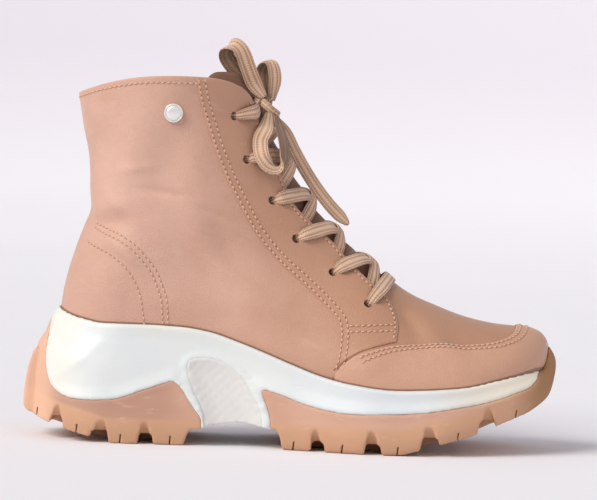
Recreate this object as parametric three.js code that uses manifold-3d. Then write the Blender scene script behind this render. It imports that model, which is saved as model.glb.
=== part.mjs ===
// A lace-up ankle boot for the right foot, on a thick two-part lugged sole.
// Millimetres. X runs from heel to toe, Y from the outer side of the foot to the inner side, Z up.
// The origin is on the floor, midway along the length and midway across the breadth.
import * as THREE from "three";
import { mergeVertices } from "three/addons/utils/BufferGeometryUtils.js";
import Module from "manifold-3d";

// Driving dimensions of the sole
const soleLength = 280;
const soleBreadth = 104;
const soleHeight = 61.4; // floor to the midsole's upper edge beside the heel
const toeSwing = 5; // how far the toe turns inwards
const heelRadius = 40; // round the heel, seen from above
const toeRadius = 62; // length of the rounded toe, seen from above
const lugDepth = 5;
const lugReach = 21; // how far a side groove cuts in from the edge
const channelWide = 4;
const channelAt = 22; // from the middle line to each long channel
const heelRibWide = 30;
const heelRibProud = 3.6;
const bumperProud = 1.5;
const archShell = 3; // thickness of the arch piece
const archSunk = 0.6; // how far its face lies behind the midsole's

// Driving dimensions of the upper
const bootHeight = 189.7; // floor to the top of the collar
const ballBreadth = 92;
const shaftBreadth = 75;
const toeRound = 50;
const heelRound = 33;
const wall = 2;
const facingThick = 0.8;
const guardThick = 1;
const guardTuck = 3; // how far it goes down inside the sole's rim
const eyeletRadius = 2.3;
const tongueThick = 2.2;
const tongueHalf = 27;
const tongueRise = 8; // above the collar
const insoleThick = 3.5;
const studRadius = 4.8;
const studHeight = 2.6;

// Driving dimensions of the lace
const laceWide = 7;
const laceThick = 1.4;
const laceRoom = 2.6; // between the upper's lining and the tongue
const knotSize = 10.4;

const gap = 0.3; // between two pieces that touch

// Smoothness of the lofts
const sideSteps = 16;
const soleLevels = 8;
const upperLevels = 16;

const wasm = await Module();
wasm.setup();

const lerp = (a, b, k) => a + (b - a) * k;
const clamp01 = (k) => Math.min(1, Math.max(0, k));
const smooth = (a, b, k) => THREE.MathUtils.smoothstep(k, a, b);
const alongSole = (share) => (share - 0.5) * soleLength;
const shareAt = (x) => x / soleLength + 0.5;

// A smooth function through the rows of a table that never overshoots them.
function through(rows, key, value) {
  const xs = rows.map((r) => r[key]);
  const ys = rows.map((r) => r[value]);
  const steps = xs.slice(1).map((x, i) => (ys[i + 1] - ys[i]) / (x - xs[i]));
  const slopes = xs.map((_, i) => {
    if (i === 0 || i === xs.length - 1) return steps[Math.min(i, steps.length - 1)];
    if (steps[i - 1] * steps[i] <= 0) return 0;
    return (2 * steps[i - 1] * steps[i]) / (steps[i - 1] + steps[i]);
  });
  return (x) => {
    if (x <= xs[0]) return ys[0] + slopes[0] * (x - xs[0]);
    const last = xs.length - 1;
    if (x >= xs[last]) return ys[last] + slopes[last] * (x - xs[last]);
    const i = xs.findIndex((v) => v > x) - 1;
    const h = xs[i + 1] - xs[i];
    const k = (x - xs[i]) / h;
    const a = (1 + 2 * k) * (1 - k) * (1 - k);
    const b = k * (1 - k) * (1 - k) * h;
    const c = k * k * (3 - 2 * k);
    const d = k * k * (k - 1) * h;
    return a * ys[i] + b * slopes[i] + c * ys[i + 1] + d * slopes[i + 1];
  };
}

// A spline in the side view through points [x, z], read by its share of arc length.
function sideCurve(points) {
  const curve = new THREE.SplineCurve(points.map(([x, z]) => new THREE.Vector2(x, z)));
  curve.arcLengthDivisions = 400;
  return (share) => curve.getPointAt(clamp01(share));
}

// For a side curve that climbs steadily: its X at a given Z.
function xAtHeight(curve) {
  const samples = Array.from({ length: 161 }, (_, i) => curve(i / 160));
  return (z) => {
    if (z <= samples[0].y) return samples[0].x;
    const i = samples.findIndex((p) => p.y > z);
    if (i < 0) return samples[160].x;
    const a = samples[i - 1];
    const b = samples[i];
    return lerp(a.x, b.x, (z - a.y) / (b.y - a.y));
  };
}

// Quarter-round easing: 0 at the edge, 1 once the distance reaches the radius.
const rounded = (distance, radius, power = 2) =>
  Math.pow(Math.max(0, 1 - Math.pow(1 - clamp01(distance / radius), power)), 1 / power);

// The middle line of the shoe, seen from above.
const middle = (x) => toeSwing * Math.pow(Math.max(0, (shareAt(x) - 0.75) / 0.25), 2);

// Sole, side view: share of the length, and height as a share of the sole's height
const topRows = [
  { at: 0.059, up: 1.108 },
  { at: 0.083, up: 1.059 },
  { at: 0.11, up: 1.028 },
  { at: 0.149, up: 1 },
  { at: 0.228, up: 1 },
  { at: 0.294, up: 0.991 },
  { at: 0.346, up: 0.957 },
  { at: 0.399, up: 0.884 },
  { at: 0.452, up: 0.798 },
  { at: 0.506, up: 0.705 },
  { at: 0.559, up: 0.624 },
  { at: 0.612, up: 0.573 },
  { at: 0.691, up: 0.538 },
  { at: 0.809, up: 0.57 },
  { at: 0.887, up: 0.642 },
  { at: 0.952, up: 0.718 },
  { at: 0.9646, up: 0.739 },
  { at: 0.969, up: 0.85 },
  { at: 0.973, up: 0.967 },
];
const groundRows = [
  { at: 0.011, up: 0.2 },
  { at: 0.03, up: 0.165 },
  { at: 0.082, up: 0.098 },
  { at: 0.13, up: 0.045 },
  { at: 0.172, up: 0 },
  { at: 0.7, up: 0 },
  { at: 0.738, up: 0.042 },
  { at: 0.78, up: 0.098 },
  { at: 0.845, up: 0.18 },
  { at: 0.885, up: 0.262 },
  { at: 0.926, up: 0.33 },
  { at: 0.954, up: 0.409 },
];
const floorRows = [
  { at: 0.06, up: 0.79 },
  { at: 0.18, up: 0.765 },
  { at: 0.32, up: 0.735 },
  { at: 0.43, up: 0.62 },
  { at: 0.535, up: 0.475 },
  { at: 0.64, up: 0.395 },
  { at: 0.75, up: 0.4 },
  { at: 0.857, up: 0.465 },
  { at: 0.93, up: 0.555 },
  { at: 0.972, up: 0.64 },
];
const topShare = through(topRows, "at", "up");
const groundShare = through(groundRows, "at", "up");
const floorShare = through(floorRows, "at", "up");
const soleTop = (x) => topShare(shareAt(x)) * soleHeight;
const ground = (x) => groundShare(shareAt(x)) * soleHeight;
const floor = (x) => floorShare(shareAt(x)) * soleHeight;

// Points given as shares of the sole's length and height
const solePoints = (rows) => rows.map(([at, up]) => [alongSole(at), up * soleHeight]);

const soleBack = sideCurve(
  solePoints([
    [0.011, 0.2],
    [0.013, 0.28],
    [0.014, 0.42],
    [0.015, 0.56],
    [0.017, 0.68],
    [0.022, 0.79],
    [0.034, 0.88],
    [0.043, 0.985],
    [0.059, 1.108],
  ]),
);
const soleFront = sideCurve(
  solePoints([
    [0.954, 0.409],
    [0.968, 0.44],
    [0.9846, 0.526],
    [0.9946, 0.612],
    [1, 0.733],
    [0.998, 0.805],
    [0.993, 0.852],
    [0.984, 0.91],
    [0.973, 0.967],
  ]),
);

// Sole, seen from above: half-breadths to the outer and inner side as shares of the breadth
const soleRows = [
  { at: 0, outer: 0.375, inner: 0.375, rim: 0.86 },
  { at: 0.15, outer: 0.385, inner: 0.38, rim: 0.87 },
  { at: 0.35, outer: 0.36, inner: 0.325, rim: 0.91 },
  { at: 0.5, outer: 0.41, inner: 0.37, rim: 0.94 },
  { at: 0.66, outer: 0.5, inner: 0.465, rim: 0.955 },
  { at: 0.75, outer: 0.49, inner: 0.5, rim: 0.955 },
  { at: 0.88, outer: 0.43, inner: 0.465, rim: 0.96 },
  { at: 1, outer: 0.4, inner: 0.43, rim: 0.96 },
];
// The side of the sole, from the floor up: how far out it stands, and how much of the rim's lean it has
const flankRows = [
  { level: 0, out: 0.955, lean: 0 },
  { level: 0.12, out: 0.985, lean: 0 },
  { level: 0.3, out: 1, lean: 0 },
  { level: 0.55, out: 1, lean: 0.16 },
  { level: 0.8, out: 1, lean: 0.55 },
  { level: 1, out: 1, lean: 1 },
];
const soleSide = {
  outer: through(soleRows, "at", "outer"),
  inner: through(soleRows, "at", "inner"),
};
const rimShare = through(soleRows, "at", "rim");
const flankOut = through(flankRows, "level", "out");
const flankLean = through(flankRows, "level", "lean");

// Upper, side view: the back seam and the front ridge climb from the floor inside to the collar
const bodyHeight = (share, base) => lerp(base, bootHeight, share);
const heelBase = floor(alongSole(0.068));
const toeBase = floor(alongSole(0.968));
const upperBack = sideCurve(
  [
    [0.069, 0],
    [0.0605, 0.1],
    [0.0625, 0.15],
    [0.067, 0.21],
    [0.0735, 0.27],
    [0.0835, 0.34],
    [0.0915, 0.39],
    [0.101, 0.442],
    [0.1105, 0.49],
    [0.1125, 0.52],
    [0.1095, 0.575],
    [0.108, 0.65],
    [0.104, 0.72],
    [0.0945, 0.8],
    [0.088, 0.87],
    [0.0825, 0.93],
  ].map(([at, up]) => [alongSole(at), bodyHeight(up, heelBase)]),
);
const upperRidge = sideCurve(
  [
    [0.966, 0],
    [0.978, 0.045],
    [0.9815, 0.085],
    [0.978, 0.125],
    [0.966, 0.153],
    [0.945, 0.169],
    [0.92, 0.177],
    [0.87, 0.186],
    [0.817, 0.208],
    [0.764, 0.243],
    [0.722, 0.275],
    [0.686, 0.317],
    [0.654, 0.367],
    [0.618, 0.422],
    [0.58, 0.484],
    [0.544, 0.556],
    [0.512, 0.635],
    [0.483, 0.718],
    [0.456, 0.802],
    [0.436, 0.865],
  ].map(([at, up]) => [alongSole(at), bodyHeight(up, toeBase)]),
);
const collarStart = upperBack(1);
const collarEnd = upperRidge(1);
const collarRise = bootHeight - collarStart.y;
const collarLine = sideCurve([
  [collarStart.x, collarStart.y],
  ...[
    [0.12, 0.4],
    [0.22, 0.66],
    [0.34, 0.87],
    [0.46, 0.97],
    [0.58, 1],
    [0.7, 0.98],
    [0.78, 0.88],
    [0.85, 0.65],
    [0.905, 0.28],
  ].map(([along, up]) => [
    lerp(collarStart.x, collarEnd.x, along),
    collarStart.y + up * collarRise,
  ]),
  [collarEnd.x, collarEnd.y],
]);

const backAt = xAtHeight(upperBack);
const ridgePeak = Array.from({ length: 101 }, (_, i) => upperRidge(i / 400)).reduce((a, b) =>
  b.x > a.x ? b : a,
);
const ridgeSamples = Array.from({ length: 401 }, (_, i) => upperRidge(i / 400));
const ridgeTop = ridgeSamples.filter((p) => p.y >= ridgePeak.y);
// Height of the ridge above a place along the foot
function ridgeHeight(x) {
  if (x >= ridgePeak.x) return ridgePeak.y;
  const i = ridgeTop.findIndex((p) => p.x < x);
  if (i < 1) return i === 0 ? ridgePeak.y : collarEnd.y + (collarEnd.x - x) * 1.6;
  const a = ridgeTop[i - 1];
  const b = ridgeTop[i];
  return lerp(a.y, b.y, (a.x - x) / (a.x - b.x));
}
const ridgeAt = xAtHeight(upperRidge);
const toeFaceAt = (z) => (z < ridgePeak.y ? ridgeAt(z) : ridgePeak.x);

// Foot sections: half-breadths as shares of the ball breadth, and how full the section is towards its top
const footRows = [
  { at: 0.06, outer: 0.34, inner: 0.34, full: 2.6 },
  { at: 0.18, outer: 0.345, inner: 0.342, full: 2.4 },
  { at: 0.35, outer: 0.335, inner: 0.3, full: 1.7 },
  { at: 0.5, outer: 0.4, inner: 0.35, full: 1.55 },
  { at: 0.66, outer: 0.5, inner: 0.46, full: 1.75 },
  { at: 0.75, outer: 0.49, inner: 0.5, full: 1.9 },
  { at: 0.88, outer: 0.44, inner: 0.475, full: 2.15 },
  { at: 1, outer: 0.41, inner: 0.445, full: 2.3 },
];
// Shaft sections: share of the way from the sole's height to the collar, half-breadths as shares of the shaft's
const shaftRows = [
  { up: 0, outer: 0.45, inner: 0.45, front: 1.6 },
  { up: 0.25, outer: 0.45, inner: 0.455, front: 1.55 },
  { up: 0.5, outer: 0.465, inner: 0.47, front: 1.55 },
  { up: 0.75, outer: 0.485, inner: 0.485, front: 1.6 },
  { up: 1, outer: 0.5, inner: 0.5, front: 1.7 },
];
const footSide = {
  outer: through(footRows, "at", "outer"),
  inner: through(footRows, "at", "inner"),
};
const footFull = through(footRows, "at", "full");
const shaftSide = {
  outer: through(shaftRows, "up", "outer"),
  inner: through(shaftRows, "up", "inner"),
};
const shaftFront = through(shaftRows, "up", "front");

// Half-breadth of the upper at a place in the side view.
function upperHalf(x, z, side) {
  const share = shareAt(x);
  const low = floor(x);
  const rise = clamp01((z - low) / Math.max(1, ridgeHeight(x) - low));
  const full = footFull(share);
  const tuck = 1 - 0.07 * Math.pow(1 - clamp01(rise / 0.3), 2);
  const foot =
    footSide[side](share) *
    ballBreadth *
    tuck *
    Math.pow(Math.max(0, 1 - Math.pow(rise, full)), 1 / (0.35 + 0.75 * full)) *
    rounded(x - backAt(z), heelRound) *
    rounded(toeFaceAt(z) - x, toeRound);
  const up = clamp01((z - soleHeight) / (bootHeight - soleHeight));
  const back = backAt(z);
  const front = Math.max(ridgeAt(z), back + 1);
  const along = (x - back) / (front - back);
  const shaft =
    shaftSide[side](up) *
    shaftBreadth *
    rounded(along, 0.5, 2.2) *
    rounded(1 - along, 0.5, shaftFront(up));
  return lerp(foot, shaft, smooth(soleHeight * 1.25, soleHeight * 2.1, z));
}

// Half-breadth of the sole at a place along it, at a level between its ground and its rim.
function soleHalf(x, level, side, inset) {
  const share = shareAt(x);
  const lean = lerp(1, rimShare(share), flankLean(level));
  return (
    Math.max(0, soleSide[side](share) * soleBreadth * flankOut(level) * lean - inset) *
    rounded(x - soleBack(level).x, heelRadius) *
    rounded(soleFront(level).x - x, toeRadius, 2.1)
  );
}

// Four side-view curves filled by one smooth patch.
function patch(low, high, back, front) {
  const corner = [low(0), low(1), high(0), high(1)];
  return (s, t) => {
    const l = low(s);
    const h = high(s);
    const b = back(t);
    const f = front(t);
    const mix = (k) =>
      (1 - t) * l[k] +
      t * h[k] +
      (1 - s) * b[k] +
      s * f[k] -
      (1 - s) * (1 - t) * corner[0][k] -
      s * (1 - t) * corner[1][k] -
      (1 - s) * t * corner[2][k] -
      s * t * corner[3][k];
    return { x: mix("x"), z: mix("y") };
  };
}

const upperPatch = patch(
  (s) => {
    const x = lerp(upperBack(0).x, upperRidge(0).x, s);
    return { x, y: floor(x) };
  },
  collarLine,
  upperBack,
  upperRidge,
);
const solePatch = patch(
  (s) => {
    const x = lerp(soleBack(0).x, soleFront(0).x, s);
    return { x, y: ground(x) };
  },
  (s) => {
    const x = lerp(soleBack(1).x, soleFront(1).x, s);
    return { x, y: soleTop(x) };
  },
  soleBack,
  soleFront,
);

// A point of the upper: turn goes once round the boot from the back, over the outer side first.
function upperPoint(turn, t, offset = 0) {
  const at = (a, level) => {
    const { x, z } = upperPatch((1 - Math.cos(a)) / 2, level);
    const outer = Math.sin(a) >= 0;
    const half = upperHalf(x, z, outer ? "outer" : "inner");
    return new THREE.Vector3(x, middle(x) + (outer ? -half : half), z);
  };
  const p = at(turn, t);
  if (!offset) return p;
  const step = 0.01;
  const low = Math.max(0, t - step);
  const high = Math.min(1, t + step);
  const round = at(turn + step * 3, t).sub(at(turn - step * 3, t));
  const rise = at(turn, high).sub(at(turn, low));
  return p.add(round.cross(rise).normalize().multiplyScalar(offset));
}

function solePoint(turn, level, inset = 0) {
  const { x, z } = solePatch((1 - Math.cos(turn)) / 2, level);
  const outer = Math.sin(turn) >= 0;
  const half = soleHalf(x, level, outer ? "outer" : "inner", inset);
  return new THREE.Vector3(x, middle(x) + (outer ? -half : half), z);
}

const ringPoints = 2 * sideSteps;
const ringOf = (point) =>
  Array.from({ length: ringPoints }, (_, i) => point((Math.PI * i) / sideSteps));

// Joins rings of points into one closed solid. The ends are closed across, or the last ring meets the first.
function loft(rings, closed = false) {
  const n = rings[0].length;
  const positions = rings.flat().flatMap((p) => [p.x, p.y, p.z]);
  const faces = [];
  const id = (r, i) => (r % rings.length) * n + ((i + n) % n);
  const last = closed ? rings.length : rings.length - 1;
  for (let r = 0; r < last; r++)
    for (let i = 0; i < n; i++) {
      faces.push(id(r, i), id(r, i + 1), id(r + 1, i + 1));
      faces.push(id(r, i), id(r + 1, i + 1), id(r + 1, i));
    }
  if (!closed)
    for (let i = 0; i < n / 2; i++) {
      const across = n - i;
      const end = rings.length - 1;
      if (i > 0) {
        faces.push(id(0, i), id(0, across), id(0, i + 1));
        faces.push(id(end, i), id(end, i + 1), id(end, across));
      }
      if (i < n / 2 - 1) {
        faces.push(id(0, i + 1), id(0, across), id(0, across - 1));
        faces.push(id(end, i + 1), id(end, across - 1), id(end, across));
      }
    }
  return solid(positions, faces);
}

// A manifold solid from positions and faces, turned so that its faces point out.
function solid(positions, faces) {
  const make = (triVerts) =>
    new wasm.Manifold(
      new wasm.Mesh({ numProp: 3, vertProperties: new Float32Array(positions), triVerts }),
    );
  const made = make(new Uint32Array(faces));
  if (made.volume() > 0) return made;
  return make(new Uint32Array(faces.map((_, i) => faces[i - (i % 3) + 2 - (i % 3)])));
}

function solidOfGeometry(geometry) {
  const bare = geometry.clone();
  bare.deleteAttribute("normal");
  bare.deleteAttribute("uv");
  const merged = mergeVertices(bare, 1e-4);
  return solid(Array.from(merged.attributes.position.array), Array.from(merged.index.array));
}

// A side-view outline pushed through the boot from one Y to another.
function slab(outline, from = -soleBreadth, to = soleBreadth) {
  const shape = new THREE.Shape(outline.map(([x, z]) => new THREE.Vector2(x, z)));
  const geometry = new THREE.ExtrudeGeometry(shape, { depth: to - from, bevelEnabled: false });
  geometry.rotateX(Math.PI / 2);
  geometry.translate(0, to, 0);
  return solidOfGeometry(geometry);
}

// The same outline, moved outwards by a distance.
function grown(outline, by) {
  const area = THREE.ShapeUtils.area(outline.map(([x, z]) => new THREE.Vector2(x, z)));
  const n = outline.length;
  return outline.map((p, i) => {
    const a = outline[(i + n - 1) % n];
    const b = outline[(i + 1) % n];
    const tangent = new THREE.Vector2(b[0] - a[0], b[1] - a[1]).normalize();
    const sign = Math.sign(area) * by;
    return [p[0] + tangent.y * sign, p[1] - tangent.x * sign];
  });
}

// A stretch of a side-view function as outline points.
const stretch = (from, to, height, steps, lift = 0) =>
  Array.from({ length: steps + 1 }, (_, i) => {
    const x = lerp(from, to, i / steps);
    return [x, height(x) + lift];
  });

// The sole as one block, and the upper as one filled form, for cutting the pieces out of.
const soleBlock = (inset = 0) =>
  loft(
    Array.from({ length: soleLevels + 1 }, (_, i) =>
      ringOf((turn) => solePoint(turn, i / soleLevels, inset)),
    ),
  );
const upperRings = (offset) =>
  Array.from({ length: upperLevels + 1 }, (_, i) =>
    ringOf((turn) => upperPoint(turn, i / upperLevels, offset)),
  );
const upperForm = (offset) => loft(upperRings(offset));

// The rubber of the heel, its boundary to the midsole seen from the side
const below = -0.3;
const heelRegion = solePoints([
  [-0.05, below],
  [0.306, below],
  [0.306, 0.02],
  [0.317, 0.138],
  [0.3365, 0.135],
  [0.3365, 0.228],
  [0.325, 0.3],
  [0.311, 0.39],
  [0.2975, 0.484],
  [0.281, 0.54],
  [0.258, 0.502],
  [0.232, 0.461],
  [0.206, 0.415],
  [0.18, 0.375],
  [0.154, 0.36],
  [0.115, 0.352],
  [0.088, 0.366],
  [0.07, 0.4],
  [0.054, 0.468],
  [0.045, 0.573],
  [0.0425, 0.67],
  [0.0425, 0.79],
  [0.045, 0.9],
  [0.046, 1.0],
  [-0.05, 1.0],
]);

// The rubber of the forefoot, from the arch to the bumper over the toe
const foreLine = [
  [0.444, 0.508],
  [0.468, 0.482],
  [0.495, 0.445],
  [0.521, 0.402],
  [0.548, 0.37],
  [0.574, 0.35],
  [0.6, 0.337],
  [0.64, 0.337],
  [0.679, 0.344],
  [0.731, 0.358],
  [0.771, 0.383],
  [0.81, 0.414],
  [0.849, 0.445],
  [0.888, 0.487],
  [0.914, 0.528],
  [0.94, 0.567],
  [0.9525, 0.606],
  [0.96, 0.655],
  [0.9646, 0.739],
];
const foreRegion = solePoints([
  ...foreLine,
  [0.97, 0.76],
  [0.976, 0.8],
  [0.9785, 0.87],
  [0.976, 1.05],
  [1.05, 1.05],
  [1.05, below],
  [0.4875, below],
  [0.4875, 0.013],
  [0.479, 0.16],
  [0.4655, 0.17],
  [0.465, 0.213],
  [0.462, 0.296],
  [0.453, 0.402],
]);
const bumperRegion = solePoints([
  [0.954, 0.35],
  [0.9545, 0.5],
  [0.96, 0.64],
  [0.9665, 0.74],
  [0.97, 0.76],
  [0.976, 0.8],
  [0.9785, 0.87],
  [0.976, 1.05],
  [1.05, 1.05],
  [1.05, 0.35],
]);

// The hollow under the arch, between the two rubber parts
const archVoid = solePoints([
  [0.3, below],
  [0.303, 0.02],
  [0.316, 0.143],
  [0.3375, 0.143],
  [0.352, 0.171],
  [0.378, 0.192],
  [0.405, 0.208],
  [0.431, 0.195],
  [0.4575, 0.17],
  [0.481, 0.16],
  [0.49, 0.02],
  [0.495, below],
]);
// The arch piece that grips the midsole from below
const archRegion = solePoints([
  [0.343, 0.1],
  [0.34, 0.18],
  [0.336, 0.3],
  [0.3185, 0.476],
  [0.3095, 0.594],
  [0.3075, 0.678],
  [0.314, 0.726],
  [0.335, 0.743],
  [0.361, 0.734],
  [0.388, 0.679],
  [0.415, 0.575],
  [0.434, 0.435],
  [0.4485, 0.318],
  [0.4525, 0.2],
  [0.452, 0.1],
]);

// Side grooves between the lugs: middle, width at the floor and height, as shares of length and height
const grooveRows = [
  { at: 0.0685, wide: 8, up: 0.17, lean: 0 },
  { at: 0.15, wide: 11, up: 0.15, lean: 0.004 },
  { at: 0.2355, wide: 9, up: 0.18, lean: -0.002 },
  { at: 0.5545, wide: 8, up: 0.185, lean: -0.006 },
  { at: 0.6555, wide: 10, up: 0.2, lean: -0.004 },
  { at: 0.76, wide: 11, up: 0.16, lean: -0.003 },
  { at: 0.865, wide: 10.5, up: 0.15, lean: 0.002 },
];

// A side groove: wide at the floor and narrow at its top, and lower further in.
function groove(row, sign) {
  const x = alongSole(row.at);
  const top = ground(x) + row.up * soleHeight;
  const inside = ground(x) + lugDepth;
  const edge = middle(x) + sign * soleBreadth * 0.5;
  const narrow = row.wide * 0.16;
  const half = row.wide / 2;
  const lean = row.lean * soleLength;
  const side = soleSide[sign < 0 ? "outer" : "inner"](row.at) * soleBreadth;
  const flank = middle(x) + sign * side;
  const section = (y, high, upper) => [
    new THREE.Vector3(x - half, y, ground(x) - lugDepth),
    new THREE.Vector3(x + half, y, ground(x) - lugDepth),
    new THREE.Vector3(x + half, y, ground(x)),
    new THREE.Vector3(x + lean + upper, y, high),
    new THREE.Vector3(x + lean - upper, y, high),
    new THREE.Vector3(x - half, y, ground(x)),
  ];
  return hullOf([
    ...section(edge + sign, top + lugDepth, narrow),
    ...section(flank, top, narrow),
    ...section(flank - sign * lugDepth, inside, half * 0.8),
    ...section(flank - sign * lugReach, inside, half * 0.8),
  ]);
}

// Joins sections of six points each into a closed bar.
function hullOf(points) {
  const rings = [];
  for (let i = 0; i < points.length; i += 6) rings.push(points.slice(i, i + 6));
  return loft(rings);
}

// Long channels beside the middle row of lugs, and cross grooves between those.
function tread(regionFrom, regionTo, cuts) {
  const from = alongSole(regionFrom);
  const to = alongSole(regionTo);
  const band = [
    ...stretch(from, to, ground, 12, lugDepth),
    ...stretch(to, from, ground, 12, -lugDepth),
  ];
  const channels = [-1, 1].map((sign) => {
    const a = sign * channelAt;
    const b = sign * (channelAt + channelWide);
    return slab(band, Math.min(a, b), Math.max(a, b));
  });
  const across = cuts.map((at) => {
    const x = alongSole(at);
    const halfCut = channelWide / 2;
    const z = ground(x);
    const box = [
      [x - halfCut, z - lugDepth],
      [x + halfCut, z - lugDepth],
      [x + halfCut, z + lugDepth],
      [x - halfCut, z + lugDepth],
    ];
    return slab(box, -channelAt - channelWide / 2, channelAt + channelWide / 2);
  });
  return [...channels, ...across];
}

function cut(body, cutters) {
  return cutters.reduce((left, cutter) => left.subtract(cutter), body);
}

// The rib that stands out of the back of the heel
const heelBackAt = xAtHeight(soleBack)(0.4 * soleHeight);
function heelRib() {
  const outline = solePoints([
    [0.06, 0.2],
    [0.0105, 0.2],
    [0.004, 0.23],
    [0, 0.27],
    [0.0008, 0.36],
    [0.0035, 0.48],
    [0.008, 0.6],
    [0.0155, 0.72],
    [0.023, 0.76],
    [0.06, 0.6],
  ]).map(([x, z]) => [x < alongSole(0.05) ? x : alongSole(0.04), z]);
  const reach = heelBackAt - alongSole(0) - heelRibProud;
  return slab(
    outline.map(([x, z]) => [x + reach, z]),
    -heelRibWide / 2,
    heelRibWide / 2,
  );
}

function outsoleHeel(block) {
  const grooves = grooveRows
    .filter((row) => row.at < 0.4)
    .flatMap((row) => [groove(row, -1), groove(row, 1)]);
  const body = block.intersect(slab(heelRegion)).add(heelRib());
  return cut(body, [...grooves, ...tread(0.05, 0.33, [0.11, 0.195, 0.275])]);
}

function outsoleFore(block, seat) {
  const grooves = grooveRows
    .filter((row) => row.at > 0.4)
    .flatMap((row) => [groove(row, -1), groove(row, 1)]);
  const bumper = soleBlock(-bumperProud).intersect(slab(bumperRegion));
  const body = block.intersect(slab(foreRegion)).add(bumper);
  return cut(body, [...grooves, ...tread(0.46, 0.93, [0.605, 0.71, 0.81, 0.905]), seat]);
}

function archPiece() {
  return soleBlock(archSunk)
    .intersect(slab(archRegion))
    .subtract(soleBlock(archSunk + archShell).subtract(slab(archVoidRaised)))
    .subtract(slab(archVoid));
}
const archVoidRaised = archVoid.map(([x, z]) => [x, z + archShell]);

function midsole(block, seat) {
  const core = soleBlock(archSunk + archShell + gap).subtract(
    slab(archVoid.map(([x, z]) => [x, z + archShell + gap])),
  );
  const archSeat = slab(grown(archRegion, gap)).subtract(core);
  const toeEnd = slab(
    solePoints([
      [0.9646, 0.6],
      [1.05, 0.6],
      [1.05, 1.05],
      [0.9646, 1.05],
    ]),
  );
  return cut(block, [
    slab(grown(heelRegion, gap)),
    slab(grown(foreRegion, gap)),
    slab(archVoid),
    archSeat,
    toeEnd,
    seat,
  ]);
}

// Front edge of the lace facings in the side view, from the vamp up to the collar
const facingFront = [
  [0.667, 0.432],
  [0.6445, 0.4545],
  [0.604, 0.5065],
  [0.571, 0.559],
  [0.5355, 0.6035],
  [0.498, 0.656],
  [0.475, 0.7165],
  [0.4525, 0.793],
  [0.43, 0.857],
  [0.407, 0.93],
  [0.385, 1],
];
const facingEdge = sideCurve(facingFront.map(([at, up]) => [alongSole(at), up * bootHeight]));
const facingEdgeAt = xAtHeight(facingEdge);
// The gap between the two facings, pushed across the whole boot
function throatCut() {
  const [at, up] = facingFront[0];
  return slab([
    [alongSole(at + 0.004), (up + 0.065) * bootHeight],
    [alongSole(0.9), 0.7 * bootHeight],
    [alongSole(0.6), 1.3 * bootHeight],
    [alongSole(0.36), 1.08 * bootHeight],
    ...facingFront.map(([x, z]) => [alongSole(x), z * bootHeight]).reverse(),
  ]);
}

// Eyelets of one side, from the collar down, in the side view
const eyeletRows = [
  { at: 0.3765, up: 0.901 },
  { at: 0.403, up: 0.7825 },
  { at: 0.453, up: 0.6725 },
  { at: 0.5, up: 0.57 },
  { at: 0.5705, up: 0.4815 },
  { at: 0.638, up: 0.4 },
];
const eyelets = eyeletRows.map(({ at, up }) => ({ x: alongSole(at), z: up * bootHeight }));

// A place on one side of the upper, found from the side view.
function onSide(x, z, sign, offset = 0) {
  const side = sign < 0 ? "outer" : "inner";
  const y = (a, b) => sign * upperHalf(a, b, side) + middle(a);
  const step = 0.5;
  const normal = new THREE.Vector3(
    (y(x - step, z) - y(x + step, z)) / (2 * step),
    1,
    (y(x, z - step) - y(x, z + step)) / (2 * step),
  )
    .normalize()
    .multiplyScalar(sign);
  return { point: new THREE.Vector3(x, y(x, z), z).addScaledVector(normal, offset), normal };
}

// A round bar that stands on the upper's surface.
function barOn({ x, z }, sign, radius, from, to) {
  const { point, normal } = onSide(x, z, sign);
  const geometry = new THREE.CylinderGeometry(radius, radius, to - from, 8);
  geometry.translate(0, (from + to) / 2, 0);
  const turn = new THREE.Quaternion().setFromUnitVectors(new THREE.Vector3(0, 1, 0), normal);
  geometry.applyQuaternion(turn);
  geometry.translate(point.x, point.y, point.z);
  return solidOfGeometry(geometry);
}
const eyeletCuts = (sign) =>
  eyelets.map((place) => barOn(place, sign, eyeletRadius, -wall * 3, wall * 3));

// The space between two offsets of the upper's form, open at the collar and underneath.
// The faces of both run alike, so that pieces at different offsets lie parallel.
function shell(inside, outside) {
  const rings = [inside, outside].flatMap((offset) => upperRings(offset));
  const n = ringPoints;
  const sheet = (upperLevels + 1) * n;
  const id = (side, r, i) => side * sheet + r * n + (i % n);
  const faces = [];
  for (let r = 0; r < upperLevels; r++)
    for (let i = 0; i < n; i++)
      for (const side of [0, 1]) {
        const [a, b, c, d] = [id(side, r, i), id(side, r, i + 1), id(side, r + 1, i + 1), id(side, r + 1, i)];
        faces.push(...(side ? [a, b, c, a, c, d] : [a, c, b, a, d, c]));
      }
  for (const [r, turned] of [[0, true], [upperLevels, false]])
    for (let i = 0; i < n; i++) {
      const [a, b, c, d] = [id(0, r, i), id(0, r, i + 1), id(1, r, i + 1), id(1, r, i)];
      faces.push(...(turned ? [a, b, c, a, c, d] : [a, c, b, a, d, c]));
    }
  return solid(
    rings.flat().flatMap((p) => [p.x, p.y, p.z]),
    faces,
  );
}

function upper() {
  return cut(shell(-wall, 0), [
    throatCut(),
    ...eyeletCuts(-1),
    ...eyeletCuts(1),
  ]);
}

// A panel sewn on to the upper, cut out between two larger forms by its side-view outline.
function overlay(outline, thick, from, to) {
  return shell(gap, gap + thick).intersect(slab(outline, from, to));
}

const guardLine = [
  [0.5755, 0.62],
  [0.597, 0.738],
  [0.623, 0.814],
  [0.649, 0.86],
  [0.675, 0.894],
  [0.701, 0.91],
  [0.753, 0.925],
  [0.806, 0.928],
  [0.858, 0.936],
  [0.893, 0.969],
  [0.914, 1.02],
  [0.926, 1.12],
];
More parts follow.
